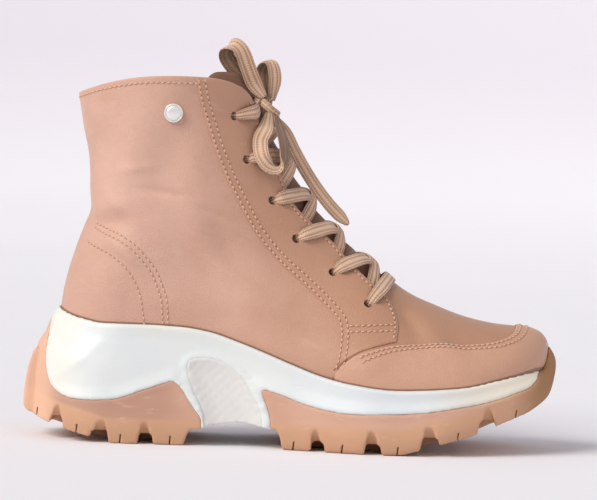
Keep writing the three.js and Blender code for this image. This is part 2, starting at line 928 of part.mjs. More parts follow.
// The guard goes down a little way inside the rim of the sole.
const guardOutline = () => {
  const high = solePoints(guardLine);
  const toe = alongSole(0.957);
  const low = -guardTuck;
  return [
    ...high,
    [alongSole(1.05), 1.12 * soleHeight],
    [alongSole(1.05), soleTop(toe) + low],
    ...stretch(toe, high[0][0], soleTop, 10, low),
  ];
};
const toeGuard = () => overlay(guardOutline(), guardThick, -soleBreadth, soleBreadth);
// Room in the sole for the upper with the guard on it
const upperSeat = () =>
  upperForm(gap).add(
    upperForm(gap + guardThick + gap).intersect(slab(grown(guardOutline(), gap))),
  );

// The facing that holds the eyelets, from the collar to the toe guard
function facing(sign) {
  const back = [
    [0.313, 1.02],
    [0.3135, 0.994],
    [0.323, 0.937],
    [0.335, 0.883],
    [0.349, 0.822],
    [0.364, 0.768],
    [0.378, 0.723],
    [0.395, 0.677],
    [0.412, 0.632],
    [0.4315, 0.586],
    [0.4585, 0.537],
    [0.486, 0.496],
    [0.513, 0.463],
    [0.54, 0.429],
    [0.567, 0.392],
    [0.589, 0.359],
    [0.595, 0.331],
    [0.5935, 0.285],
  ].map(([at, up]) => [alongSole(at), up * bootHeight]);
  const low = [
    [0.5975, 0.762],
    [0.623, 0.838],
    [0.649, 0.884],
    [0.675, 0.918],
    [0.6925, 0.93],
  ];
  const wing = [
    [0.6955, 0.34],
    [0.6915, 0.373],
    [0.681, 0.405],
  ].map(([at, up]) => [alongSole(at), up * bootHeight]);
  const front = facingFront.map(([at, up]) => [alongSole(at), up * bootHeight]);
  const outline = [...back, ...solePoints(low), ...wing, ...front];
  const piece = overlay(
    outline,
    facingThick,
    sign < 0 ? -soleBreadth : 0,
    sign < 0 ? 0 : soleBreadth,
  );
  return cut(piece, eyeletCuts(sign));
}

// Where a place in the side view lies in the upper's patch, from a first guess.
function locate(x, z, guess) {
  let { s, t } = guess;
  const step = 1e-3;
  for (let i = 0; i < 40; i++) {
    const p = upperPatch(s, t);
    const back = upperPatch(s - step, t);
    const low = upperPatch(s, t - step);
    const sx = (p.x - back.x) / step;
    const sz = (p.z - back.z) / step;
    const tx = (p.x - low.x) / step;
    const tz = (p.z - low.z) / step;
    const det = sx * tz - sz * tx;
    const dx = x - p.x;
    const dz = z - p.z;
    s = THREE.MathUtils.clamp(s + (0.7 * (dx * tz - dz * tx)) / det, 0.1, 1);
    t = THREE.MathUtils.clamp(t + (0.7 * (sx * dz - sz * dx)) / det, 0.1, 1);
  }
  return { turn: Math.acos(1 - 2 * s), t };
}

// A spot beside the ridge: a share of the ridge, and how far aside (outer side negative).
// The distance inwards in the side view is the square of that.
function besideRidge(level, aside) {
  if (Math.abs(aside) < 1e-6) return { turn: Math.PI, t: level };
  const q = sideOfRidge(level, aside);
  const { turn, t } = locate(q.x, q.y, { s: 0.97, t: level });
  return { turn: aside < 0 ? turn : 2 * Math.PI - turn, t };
}
function sideOfRidge(level, aside) {
  const p = upperRidge(level);
  const a = upperRidge(level - 0.01);
  const b = upperRidge(Math.min(1, level + 0.01));
  const inward = new THREE.Vector2(a.y - b.y, b.x - a.x).normalize();
  return p.clone().addScaledVector(inward, aside * aside);
}
// The same for a place in the side view
function spotOf(x, z) {
  const place = new THREE.Vector2(x, z);
  const far = ridgeSamples.map((p) => p.distanceTo(place));
  const nearest = far.indexOf(Math.min(...far.slice(120)));
  return { level: nearest / 400, aside: Math.sqrt(far[nearest]) };
}

// The tongue starts under the vamp, leaves room for the lace and rises above the collar.
const tongueStart = ridgeSamples.findIndex((p, i) => i > 40 && p.x < alongSole(0.705)) / 400;
const tongueRows = [
  { up: 0, drop: 0, wide: 0.7 },
  { up: 0.035, drop: 0.5, wide: 0.74 },
  { up: 0.07, drop: 1, wide: 0.77 },
  { up: 0.16, drop: 1, wide: 0.8 },
  { up: 0.26, drop: 1, wide: 0.84 },
  { up: 0.36, drop: 1, wide: 0.87 },
  { up: 0.46, drop: 1, wide: 0.9 },
  { up: 0.57, drop: 1, wide: 0.92 },
  { up: 0.68, drop: 1, wide: 0.94 },
  { up: 0.79, drop: 1, wide: 0.96 },
  { up: 0.9, drop: 1, wide: 0.98 },
  { up: 1, drop: 1, wide: 1 },
];
function tongue() {
  const acrossSteps = 10;
  const tip = bootHeight + tongueRise;
  const lean = ridgeLean();
  const sheet = (depth) =>
    tongueRows.map(({ up, drop, wide }) => {
      const level = lerp(tongueStart, 0.985, up);
      const reach = reachFor(level, wide * tongueHalf);
      const offset = -(wall + gap + drop * laceRoom + depth);
      return Array.from({ length: acrossSteps + 1 }, (_, i) => {
        const { turn, t } = besideRidge(level, lerp(-reach, reach, i / acrossSteps));
        return upperPoint(turn, t, offset);
      });
    });
  const sides = [sheet(0), sheet(tongueThick)].map((rows) => {
    const end = rows[rows.length - 1];
    const rise = [0.3, 0.65, 1].map((k) =>
      end.map((p, i) => {
        const across = 2 * Math.abs(i / acrossSteps - 0.5);
        const top = tip - tongueRise * Math.pow(across, 3);
        return p.clone().addScaledVector(lean, (k * (top - p.z)) / lean.z);
      }),
    );
    return [...rows, ...rise];
  });
  return loft(sides[0].map((row, r) => [...row, ...sides[1][r].slice().reverse()]));
}
// The way the ridge climbs where it reaches the collar
function ridgeLean() {
  const a = upperRidge(0.9);
  const b = upperRidge(1);
  return new THREE.Vector3(b.x - a.x, 0, b.y - a.y).normalize();
}
// How far aside of the ridge the upper has a given half-breadth
function reachFor(level, half) {
  let aside = 0.2;
  const breadth = () => {
    const q = sideOfRidge(level, aside);
    return upperHalf(q.x, q.y, "outer");
  };
  while (breadth() < half && aside < 6.5) aside += 0.05;
  return aside;
}

// The insole lies on the midsole's floor inside the upper.
function insole() {
  const from = alongSole(0.06);
  const to = alongSole(0.98);
  const outline = [
    ...stretch(from, to, floor, 20, gap),
    ...stretch(to, from, floor, 20, gap + insoleThick),
  ];
  return upperForm(-(wall + gap)).intersect(slab(outline));
}

// The round metal stud near the collar on the outer side
function stud() {
  const place = { x: alongSole(0.267), z: 0.903 * bootHeight };
  const { point, normal } = onSide(place.x, place.z, -1, gap + 0.1);
  const profile = [
    new THREE.Vector2(0, 0),
    new THREE.Vector2(studRadius, 0),
    new THREE.Vector2(studRadius, studHeight * 0.4),
    new THREE.Vector2(studRadius * 0.86, studHeight * 0.62),
    new THREE.Vector2(studRadius * 0.5, studHeight * 0.92),
    new THREE.Vector2(0, studHeight),
  ];
  const geometry = new THREE.LatheGeometry(profile, 18);
  const turn = new THREE.Quaternion().setFromUnitVectors(new THREE.Vector3(0, 1, 0), normal);
  geometry.applyQuaternion(turn);
  geometry.translate(point.x, point.y, point.z);
  return solidOfGeometry(geometry);
}

// A flat woven lace along points, each with the direction across its width.
function band(points, acrosses, wide = laceWide) {
  return loft(
    points.map((p, i) => {
      const a = points[Math.max(0, i - 1)];
      const b = points[Math.min(points.length - 1, i + 1)];
      const along = b.clone().sub(a).normalize();
      const across = acrosses[i].clone();
      across.addScaledVector(along, -across.dot(along)).normalize();
      const up = along.clone().cross(across);
      const at = (u, v) =>
        p
          .clone()
          .addScaledVector(across, (u * wide) / 2)
          .addScaledVector(up, (v * laceThick) / 2);
      return [at(-1, -1), at(-1, 1), at(1, 1), at(1, -1)];
    }),
  );
}

const outsideLace = gap + facingThick + gap + laceThick / 2 + 0.5;
const insideLace = -(wall + laceRoom / 2 + 0.15);
const eyeletSpots = eyelets.map(({ x, z }) => spotOf(x, z));
const inThroat = (level, aside) => {
  const q = sideOfRidge(level, aside);
  return q.x > facingEdgeAt(q.y);
};

// A strand from a spot on the outer or inner side over the throat to the other side.
// Each end lies over its facing, or goes in under it and stops there.
function strand(from, to, sign, fromUnder, toUnder) {
  const spot = (k) => [
    lerp(from.level, to.level, k),
    sign * lerp(from.aside, -to.aside, k),
  ];
  const shares = Array.from({ length: 201 }, (_, i) => i / 200);
  const open = shares.filter((k) => inThroat(...spot(k)));
  const near = open[0];
  const far = open[open.length - 1];
  const wide = far - near;
  const lift = (k) =>
    lerp(
      fromUnder ? insideLace : outsideLace,
      toUnder ? insideLace : outsideLace,
      smooth(near + 0.12 * wide, far - 0.24 * wide, k),
    );
  const first = fromUnder ? near - 0.14 * wide : 0;
  const last = toUnder ? far + 0.14 * wide : 1;
  const steps = 12;
  const spaced = Array.from({ length: steps + 1 }, (_, i) => lerp(first, last, i / steps));
  const places = spaced.map((k) => besideRidge(...spot(k)));
  const points = places.map(({ turn, t }, i) => upperPoint(turn, t, lift(spaced[i])));
  const acrosses = points.map((p, i) => {
    const a = points[Math.max(0, i - 1)];
    const b = points[Math.min(steps, i + 1)];
    const { turn, t } = places[i];
    const normal = upperPoint(turn, t, 1).sub(upperPoint(turn, t));
    return b.clone().sub(a).cross(normal);
  });
  return band(points, acrosses);
}

// One crossing: each strand lies over one facing and goes in under the other, one eyelet lower.
// Below the top eyelets both ends lie under the facings.
function laceCrossing(row) {
  const high = eyeletSpots[row];
  const low = eyeletSpots[row + 1];
  const under = row === 0;
  return strand(high, low, -1, under, true).add(strand(high, low, 1, under, true));
}
function laceBar() {
  const last = eyeletSpots[eyeletSpots.length - 1];
  return strand(last, last, -1, false, false);
}

// The knot in front of the tongue, and the strand that comes to it from both top eyelets
const knotCentre = new THREE.Vector3(alongSole(0.4335), 0, 0.927 * bootHeight);
function laceTop() {
  const first = eyelets[0];
  const side = (sign) => [
    onSide(first.x, first.z, sign, outsideLace + 0.5).point,
    onSide(lerp(first.x, knotCentre.x, 0.5), lerp(first.z, knotCentre.z, 0.5), sign, outsideLace + 1)
      .point,
    new THREE.Vector3(knotCentre.x - 0.38 * knotSize, sign * laceWide * 1.1, knotCentre.z - 0.6),
  ];
  const middleOf = new THREE.Vector3(knotCentre.x - 0.5 * knotSize, 0, knotCentre.z - 0.4);
  const curve = new THREE.CatmullRomCurve3([...side(-1), middleOf, ...side(1).reverse()]);
  const steps = 16;
  const points = Array.from({ length: steps + 1 }, (_, i) => curve.getPoint(i / steps));
  return band(
    points,
    points.map(() => new THREE.Vector3(-0.25, 0, 1)),
  );
}

function laceKnot() {
  const geometry = new THREE.SphereGeometry(knotSize / 2, 12, 8);
  geometry.scale(0.75, 1, 0.95);
  geometry.translate(knotCentre.x, knotCentre.y, knotCentre.z);
  return solidOfGeometry(geometry);
}

// Bow: routes as places measured from the knot's middle, [forwards, inwards, up]
const bowRoutes = {
  lace_loop_back: {
    across: [0.1, 1, 0.05],
    route: [
      [-1.6, -1.5, 4.9],
      [-9, -2, 12],
      [-16, -4, 19],
      [-21.5, -6, 25],
      [-21, -8, 30.5],
      [-15, -9, 33],
      [-10.5, -9, 29],
      [-7.4, -7, 20],
      [-4.8, -5.5, 12],
      [-1, -4.6, 5.4],
    ],
  },
  lace_loop_top: {
    across: [0.2, 1, 0],
    route: [
      [0.4, 4.6, 4.6],
      [-0.6, 6.6, 13],
      [-2, 7, 20],
      [0.6, 7, 25],
      [5, 6.5, 22.5],
      [6.6, 5.5, 14],
      [3.6, 3.6, 4.2],
    ],
  },
  lace_loop_low: {
    across: [0.8, 0.6, 0.2],
    route: [
      [2, -5.6, -3.4],
      [0.8, -17.5, -11],
      [-1.6, -23.5, -17],
      [-0.4, -26.5, -25],
      [3.6, -26, -30.5],
      [8.6, -22.5, -31],
      [11.6, -18, -26],
      [11, -13, -18],
      [8.6, -9, -11],
      [5.8, -5, -4.6],
    ],
  },
  lace_end_front: {
    across: [0.4, 1, 0.2],
    route: [
      [2.8, 0.6, -4.2],
      [10.4, 1.6, -12],
      [16, 2, -22],
      [22, 2, -32],
      [29, 2, -42],
      [37, 1.6, -51.5],
      [46, 1, -60],
    ],
  },
};
// A free piece of lace: its flat section starts across the given direction.
function bowPiece({ route, across }) {
  const points = route.map(([x, y, z]) => knotCentre.clone().add(new THREE.Vector3(x, y, z)));
  const curve = new THREE.CatmullRomCurve3(points);
  const steps = Math.round(route.length * 1.5);
  const { normals, binormals } = curve.computeFrenetFrames(steps, false);
  const direction = new THREE.Vector3(...across);
  const turn = Math.atan2(direction.dot(binormals[0]), direction.dot(normals[0]));
  const half = new THREE.Vector2(laceWide, laceThick).multiplyScalar(0.5);
  const section = laceSection.map(([u, v]) =>
    new THREE.Vector2(u * half.x, v * half.y).rotateAround(new THREE.Vector2(), turn),
  );
  return solidOfGeometry(
    new THREE.ExtrudeGeometry(new THREE.Shape(section), {
      steps,
      extrudePath: curve,
      bevelEnabled: false,
    }),
  );
}
// Eight corners of the flat section, as shares of half its width and half its thickness
const laceSection = [
  [1, 0.3],
  [0.9, 1],
  [-0.9, 1],
  [-1, 0.3],
  [-1, -0.3],
  [-0.9, -1],
  [0.9, -1],
  [1, -0.3],
];

const finish = {
  leather: { color: "#cf9f88", roughness: 0.5, metalness: 0 },
  rubber: { color: "#d8a488", roughness: 0.62, metalness: 0 },
  foam: { color: "#eef0e6", roughness: 0.42, metalness: 0 },
  arch: { color: "#e2e0d6", roughness: 0.38, metalness: 0 },
  lining: { color: "#8c7460", roughness: 0.85, metalness: 0 },
  metal: { color: "#e6e6e2", roughness: 0.18, metalness: 1 },
  lace: { color: "#b8946f", roughness: 0.9, metalness: 0 },
};

const boot = new THREE.Group();
function add(name, body, material) {
  const mesh = body.getMesh();
  const geometry = new THREE.BufferGeometry();
  geometry.setAttribute("position", new THREE.BufferAttribute(mesh.vertProperties, 3));
  geometry.setIndex(new THREE.BufferAttribute(mesh.triVerts, 1));
  const piece = new THREE.Mesh(geometry, new THREE.MeshStandardMaterial(finish[material]));
  piece.name = name;
  boot.add(piece);
}

const block = soleBlock();
const seat = upperSeat();
add("outsole_heel", outsoleHeel(block), "rubber");
add("outsole_forefoot", outsoleFore(block, seat), "rubber");
add("midsole", midsole(block, seat), "foam");
add("arch_piece", archPiece(), "arch");
add("insole", insole(), "lining");
add("upper", upper(), "leather");
add("toe_guard", toeGuard(), "leather");
add("facing_outer", facing(-1), "leather");
add("facing_inner", facing(1), "leather");
add("tongue", tongue(), "leather");
add("stud", stud(), "metal");
add("lace_bar", laceBar(), "lace");
for (let row = eyelets.length - 2; row >= 0; row--)
  add(`lace_crossing_${eyelets.length - 1 - row}`, laceCrossing(row), "lace");
add("lace_top", laceTop(), "lace");
add("lace_knot", laceKnot(), "lace");
for (const [name, piece] of Object.entries(bowRoutes)) add(name, bowPiece(piece), "lace");

export default boot;
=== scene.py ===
import math

import bmesh
import bpy
import numpy as np
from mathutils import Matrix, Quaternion, Vector


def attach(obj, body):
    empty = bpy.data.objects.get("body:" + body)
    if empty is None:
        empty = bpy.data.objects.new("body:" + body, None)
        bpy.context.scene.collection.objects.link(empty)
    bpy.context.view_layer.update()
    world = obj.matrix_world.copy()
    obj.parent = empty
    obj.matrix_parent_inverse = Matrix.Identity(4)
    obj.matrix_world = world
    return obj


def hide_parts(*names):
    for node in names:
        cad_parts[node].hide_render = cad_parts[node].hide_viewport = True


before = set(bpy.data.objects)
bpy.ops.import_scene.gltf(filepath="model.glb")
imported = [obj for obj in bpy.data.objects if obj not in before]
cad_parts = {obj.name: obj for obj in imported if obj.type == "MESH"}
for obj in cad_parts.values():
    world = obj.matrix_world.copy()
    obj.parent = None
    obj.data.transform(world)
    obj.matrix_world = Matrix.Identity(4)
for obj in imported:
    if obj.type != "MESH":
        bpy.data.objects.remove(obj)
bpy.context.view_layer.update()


# The studio: a pale floor that curves up far away on all sides, and large soft lamps.
# The camera looks at the outer side of the boot from a little above, turned as the photograph is.
def paint(red, green, blue):
    """A linear colour from one read off a screen."""
    shares = [c / 255 for c in (red, green, blue)]
    return (*(((c + 0.055) / 1.055) ** 2.4 if c > 0.04 else c / 12.92 for c in shares), 1)


eye = Vector((0.006, -1.6, 0.172))
aim = Vector((0.0015, 0, 0.1015))
camera = bpy.data.objects.new("camera", bpy.data.cameras.new("camera"))
camera.data.lens = 183
camera.location = eye
camera.rotation_mode = "QUATERNION"
photo_turn = Quaternion((0, 0, 1), math.radians(2.09))
camera.rotation_quaternion = (aim - eye).to_track_quat("-Z", "Y") @ photo_turn
bpy.context.scene.collection.objects.link(camera)
bpy.context.scene.camera = camera

world = bpy.data.worlds.new("studio_air")
world.use_nodes = True
world.node_tree.nodes["Background"].inputs["Color"].default_value = paint(241, 240, 246)
world.node_tree.nodes["Background"].inputs["Strength"].default_value = 0.5
bpy.context.scene.world = world
bpy.context.scene.view_settings.view_transform = "Standard"

for name, place, spread, power, colour in (
    ("window", (-1.25, -0.95, 1.45), 34, 2.4, (255, 251, 246)),
    ("bounce", (0.9, -1.6, 0.5), 80, 0.2, (255, 240, 230)),
):
    lamp = bpy.data.objects.new(name, bpy.data.lights.new(name, "SUN"))
    lamp.data.angle = math.radians(spread)
    lamp.data.energy = power
    lamp.data.color = paint(*colour)[:3]
    lamp.location = place
    lamp.rotation_mode = "QUATERNION"
    lamp.rotation_quaternion = (aim - Vector(place)).to_track_quat("-Z", "Y")
    bpy.context.scene.collection.objects.link(lamp)


class Wire:
    """A shader socket that takes part in Python sums."""

    def __init__(self, finish, socket):
        self.finish = finish
        self.socket = socket

    def maths(self, operation, *values):
        return self.finish.node("Math", {"operation": operation}, dict(enumerate(values)))

    def __add__(self, other):
        return self.maths("ADD", self, other)

    def __sub__(self, other):
        return self.maths("SUBTRACT", self, other)

    def __rsub__(self, other):
        return self.maths("SUBTRACT", other, self)

    def __mul__(self, other):
        return self.maths("MULTIPLY", self, other)

    def __truediv__(self, other):
        return self.maths("DIVIDE", self, other)

    def between(self, low, high):
        """0 below low, 1 above high, and a soft step from one to the other."""
        inputs = {"Value": self, "From Min": low, "From Max": high}
        return self.finish.node("MapRange", {"interpolation_type": "SMOOTHSTEP"}, inputs)

    __radd__ = __add__
    __rmul__ = __mul__


class Finish:
    """A material. Its nodes are added by type, settings and inputs."""

    def __init__(self, name, constants):
        self.material = bpy.data.materials.new(name)
        self.material.use_nodes = True
        self.tree = self.material.node_tree
        self.surface = self.tree.nodes["Principled BSDF"]
        self.feed(self.surface, constants)

    def feed(self, node, inputs):
        for key, value in inputs.items():
            if isinstance(value, Wire):
                self.tree.links.new(value.socket, node.inputs[key])
            else:
                node.inputs[key].default_value = value

    def node(self, kind, settings, inputs, output=0):
        made = self.tree.nodes.new("ShaderNode" + kind)
        for key, value in settings.items():
            setattr(made, key, value)
        self.feed(made, inputs)
        return Wire(self, made.outputs[output])

    def place(self):
        return self.node("TexCoord", {}, {}, "Object")

    def axis(self, number):
        """The place along x, y or z, numbered from 0."""
        return self.node("SeparateXYZ", {}, {"Vector": self.place()}, number)

    def noise(self, size, detail=3.0, stretch=(1, 1, 1)):
        """Cloudy variation from 0 to 1, its patches about `size` metres wide."""
        where = self.node(
            "Mapping", {}, {"Vector": self.place(), "Scale": [s / size for s in stretch]}
        )
        return self.node("TexNoise", {}, {"Vector": where, "Scale": 1.0, "Detail": detail})

    def blend(self, share, first, second):
        inputs = {0: share, 6: first, 7: second}
        return self.node("Mix", {"data_type": "RGBA"}, inputs, 2)

    def lit(self, colour, roughness, height, depth):
        """Colour, roughness and relief, the last as a height from 0 to 1 over a depth in metres."""
        bump = self.node("Bump", {}, {"Height": height, "Distance": depth, "Strength": 1.0})
        self.feed(self.surface, {"Base Color": colour, "Roughness": roughness, "Normal": bump})
        return self.material


def smooth_faces(mesh):
    mesh.polygons.foreach_set("use_smooth", [True] * len(mesh.polygons))


def as_piece(name, bm, materials=()):
    """A finished piece from its mesh, with its place in the mesh."""
    mesh = bpy.data.meshes.new(name)
    bm.to_mesh(mesh)
    bm.free()
    return as_object(name, mesh, materials)


def as_object(name, mesh, materials):
    for material in materials:
        mesh.materials.append(material)
    smooth_faces(mesh)
    piece = bpy.data.objects.new(name, mesh)
    bpy.context.scene.collection.objects.link(piece)
    return piece


def spun(profile, steps, merge):
    """A mesh turned round the upright axis from places (x, z)."""
    bm = bmesh.new()
    line = [bm.verts.new((x, 0, z)) for x, z in profile]
    edges = [bm.edges.new(pair) for pair in zip(line, line[1:])]
    bmesh.ops.spin(
        bm, geom=line + edges, cent=(0, 0, 0), axis=(0, 0, 1), angle=2 * math.pi, steps=steps,
        use_merge=True,
    )
    bmesh.ops.remove_doubles(bm, verts=bm.verts, dist=merge)
    bmesh.ops.recalc_face_normals(bm, faces=bm.faces)
    return bm


floor_paper = Finish("studio_paper", {"Specular IOR Level": 0.15})
paper_cloud = floor_paper.noise(0.6, 2)
paper_tone = floor_paper.blend(paper_cloud, paint(237, 237, 241), paint(241, 241, 245))
floor_paper.lit(
    floor_paper.blend(floor_paper.axis(2).between(0.0, 0.3), paper_tone, paint(226, 222, 229)),
    paper_cloud * 0.05 + 0.85,
    floor_paper.noise(0.002),
    0.0001,
)
floor_drop = 0.0002
floor_profile = [
    (0, 0), (1.2, 0), (2.4, 0), (3.2, 0.06), (3.8, 0.28), (4.3, 0.7), (4.6, 1.3), (4.7, 2),
]
sweep = spun([(x, z - floor_drop) for x, z in floor_profile], 64, 1e-5)
if sweep.faces[0].normal.z < 0:
    bmesh.ops.reverse_faces(sweep, faces=sweep.faces)
studio_floor = as_piece("studio_floor", sweep, [floor_paper.material])


# The bow of the lace: a knot in front of the tongue, three loops and one free end.
# The lace is a flat woven cord 7 mm wide with lengthwise ribs, cut off plain at its end.
lace_wide, lace_thick, lace_ribs, stitch_every = 0.007, 0.0014, 6, 0.0013
strip_around, strip_step, cut_taper = 48, 0.0012, 0.0065


def woven_finish(name, light, dark):
    """Ribs run along the lace, and each is a row of small slanted stitches."""
    weave = Finish(name, {"Specular IOR Level": 0.25, "Sheen Weight": 0.25})
    across, along = (
        weave.node("SeparateXYZ", {}, {"Vector": weave.node("UVMap", {"uv_map": "laid"}, {})}, k)
        for k in (0, 1)
    )
    turn = 2 * math.pi
    rib_turns = across * (turn * 2 * lace_ribs)
    rib = rib_turns.maths("COSINE", rib_turns)
    slant = along * (turn / stitch_every) + rib * 1.1
    stitch = slant.maths("SINE", slant)
    raised = (rib * 0.32 + 0.5) + stitch * 0.16
    cloud = weave.noise(0.012)
    # Lighter on the raised ribs and stitches, darker between them: painted highlight and painted
    # shade of the weave, with random clouding.
    rib_light_and_shade = raised * 0.6 + cloud * 0.5
    colour = weave.blend(rib_light_and_shade.between(0.1, 0.85), dark, light)
    # The back half of the lace's section is painted dark brown: painted shade on the inner faces of
    # the loops.
    colour = weave.blend(across.between(0.5, 0.54) * 0.62, colour, paint(86, 56, 36))
    return weave.lit(colour, 0.95 - raised * 0.15, raised, 0.00045)


lace_weave = woven_finish("lace_weave", paint(234, 198, 169), paint(172, 132, 104))


def laid_grid(columns, rows, place, joined=False, ends=False):
    """A grid whose points `place(u, v)` sets, u and v running from 0 to 1 over columns and rows."""
    bm = bmesh.new()
    bm.loops.layers.uv.new("laid")
    bmesh.ops.create_grid(bm, x_segments=columns, y_segments=rows, size=1, calc_uvs=True)
    flat = np.array([v.co for v in bm.verts])
    low, high = flat.min(0), flat.max(0)
    points = place(
        np.round((flat[:, 0] - low[0]) / (high[0] - low[0]) * columns) / columns,
        np.round((flat[:, 1] - low[1]) / (high[1] - low[1]) * rows) / rows,
    )
    for vert, point in zip(bm.verts, points.tolist()):
        vert.co = point
    if joined:
        bmesh.ops.remove_doubles(bm, verts=bm.verts, dist=2e-6)
    if ends:
        bmesh.ops.holes_fill(bm, edges=bm.edges, sides=0)
    bmesh.ops.recalc_face_normals(bm, faces=bm.faces)
    return bm


def stretch_uv(piece, wide, long):
    """Turns a piece's UV map from shares into metres."""
    layer = piece.data.uv_layers["laid"].data
    uv = np.empty(len(layer) * 2)
    layer.foreach_get("uv", uv)
    layer.foreach_set("uv", (uv.reshape(-1, 2) * (wide, long)).ravel())


def smooth_line(rows, spacing):
    """A smooth line through rows of numbers, the first three of them a place, evenly spaced."""
    rows = np.array(rows, float)
    padded = np.vstack([rows[:1], rows, rows[-1:]])
    t = np.linspace(0, 1, 25)[:-1, None]
    parts = []
    for a, b, c, d in zip(padded, padded[1:], padded[2:], padded[3:]):
        start, end = (c - a) / 2, (d - b) / 2
        cubic = 2 * b - 2 * c + start + end
        parts.append(cubic * t**3 + (3 * c - 3 * b - 2 * start - end) * t**2 + start * t + b)
    line = np.vstack([*parts, rows[-1:]])
    run = np.concatenate([[0], np.cumsum(np.linalg.norm(np.diff(line[:, :3], axis=0), axis=1))])
    steps = max(4, round(run[-1] / spacing))
    at = np.linspace(0, run[-1], steps + 1)
    return np.stack([np.interp(at, run, line[:, k]) for k in range(rows.shape[1])], axis=1), run[-1]


def unit(vectors):
    return vectors / np.maximum(np.linalg.norm(vectors, axis=-1, keepdims=True), 1e-12)


def lace_strip(rows, cut_ends=(False, False)):
    """Flat lace through rows of place, direction across and width."""
    line, length = smooth_line(rows, strip_step)
    middle_line, wide = line[:, :3], line[:, 6]
    along = unit(np.gradient(middle_line, axis=0))
    across = unit(line[:, 3:6] - (line[:, 3:6] * along).sum(1)[:, None] * along)
    up = np.cross(along, across)
    run = np.linspace(0, length, len(line))
    for is_cut, far in zip(cut_ends, (run, length - run)):
        if is_cut:
            wide = wide * (0.2 + 0.8 * np.clip(far / cut_taper, 0, 1) ** 0.6)
    thick = lace_thick * (lace_wide / wide) ** 0.75
    last = len(line) - 1

    def place(u, v):
        row = np.round(v * last).astype(int)
        c, s = np.cos(2 * np.pi * u), np.sin(2 * np.pi * u)
        side = np.sign(c) * np.abs(c) ** 0.72
        rise = np.sign(s) * np.abs(s) ** 0.45
        ribbed = 1 + 0.2 * np.cos(np.pi * 2 * lace_ribs * (side + 1) / 2)
        out = side[:, None] * across[row] * wide[row, None] / 2
        return middle_line[row] + out + (rise * ribbed * thick[row] / 2)[:, None] * up[row]

    return laid_grid(strip_around, last, place, joined=True, ends=True), middle_line, length


def add_parts(whole, parts):
    """Puts the meshes of several parts into one."""
    holder = bpy.data.meshes.new("part")
    for part in parts:
        part.to_mesh(holder)
        part.free()
        whole.from_mesh(holder)
    bpy.data.meshes.remove(holder)


knot_at = np.array((-0.01862, 0, 0.17585))
# Routes in metres from the knot's middle: forwards, inwards, up, then the direction across the lace
bow = {
    "lace_loop_back": [
        ((-0.0016, -0.0015, 0.0049), (0.6, 0.6, 0.3)),
        ((-0.009, -0.002, 0.012), (0.8, 0.3, 0.45)),
        ((-0.016, -0.004, 0.019), (0.85, 0.1, 0.5)),
        ((-0.021, -0.0056, 0.0255), (0.9, 0.2, 0.45)),
        ((-0.0212, -0.0076, 0.0304), (0.75, 0.45, 0.6)),
        ((-0.0172, -0.0092, 0.0325), (0.35, 0.55, 0.8)),
        ((-0.0132, -0.0094, 0.0288), (0.75, 0.3, 0.5)),
        ((-0.0098, -0.0078, 0.0205), (0.92, 0, 0.36)),
        ((-0.006, -0.006, 0.012), (0.93, 0, 0.36)),
        ((-0.001, -0.0046, 0.0054), (0.9, 0.3, 0.3)),
    ],
    "lace_loop_top": [
        ((0.0, 0.0046, 0.0046), (0.8, 0.5, 0)),
        ((-0.0018, 0.0086, 0.013), (0.92, 0.35, 0)),
        ((-0.0026, 0.0096, 0.0195), (0.9, 0.4, 0)),
        ((-0.0006, 0.0084, 0.0242), (0.6, 0.75, 0.2)),
        ((0.0028, 0.006, 0.0228), (0.8, 0.5, 0.1)),
        ((0.0044, 0.0046, 0.0145), (0.95, 0.3, 0)),
        ((0.0028, 0.0032, 0.0042), (0.8, 0.5, 0)),
    ],
    "lace_loop_low": [
        ((0.002, -0.0056, -0.0034), (0.95, 0.2, -0.1)),
        ((0.0008, -0.0175, -0.011), (0.97, 0.1, -0.1)),
        ((-0.0016, -0.0235, -0.017), (0.98, 0.05, -0.1)),
        ((-0.0004, -0.0265, -0.025), (0.95, 0.1, 0.25)),
        ((0.0036, -0.026, -0.0305), (0.5, 0.6, 0.62)),
        ((0.0083, -0.0225, -0.031), (0.25, 0.85, 0.3)),
        ((0.011, -0.018, -0.026), (0.5, 0.86, 0)),
        ((0.0104, -0.013, -0.018), (0.55, 0.83, 0)),
        ((0.0083, -0.009, -0.011), (0.5, 0.86, 0)),
        ((0.0058, -0.005, -0.0046), (0.5, 0.8, 0)),
    ],
    "lace_end_front": [
        ((0.0028, 0.0006, -0.0042), (0.7, 0.4, 0.5)),
        ((0.0104, 0.0016, -0.012), (0.82, 0.3, 0.5)),
        ((0.016, 0.002, -0.022), (0.84, 0.2, 0.5)),
        ((0.022, 0.002, -0.032), (0.83, 0.15, 0.52)),
        ((0.029, 0.002, -0.042), (0.82, 0.1, 0.55)),
        ((0.037, 0.0016, -0.0515), (0.8, 0.1, 0.58)),
        ((0.046, 0.001, -0.06), (0.8, 0.1, 0.58)),
    ],
}

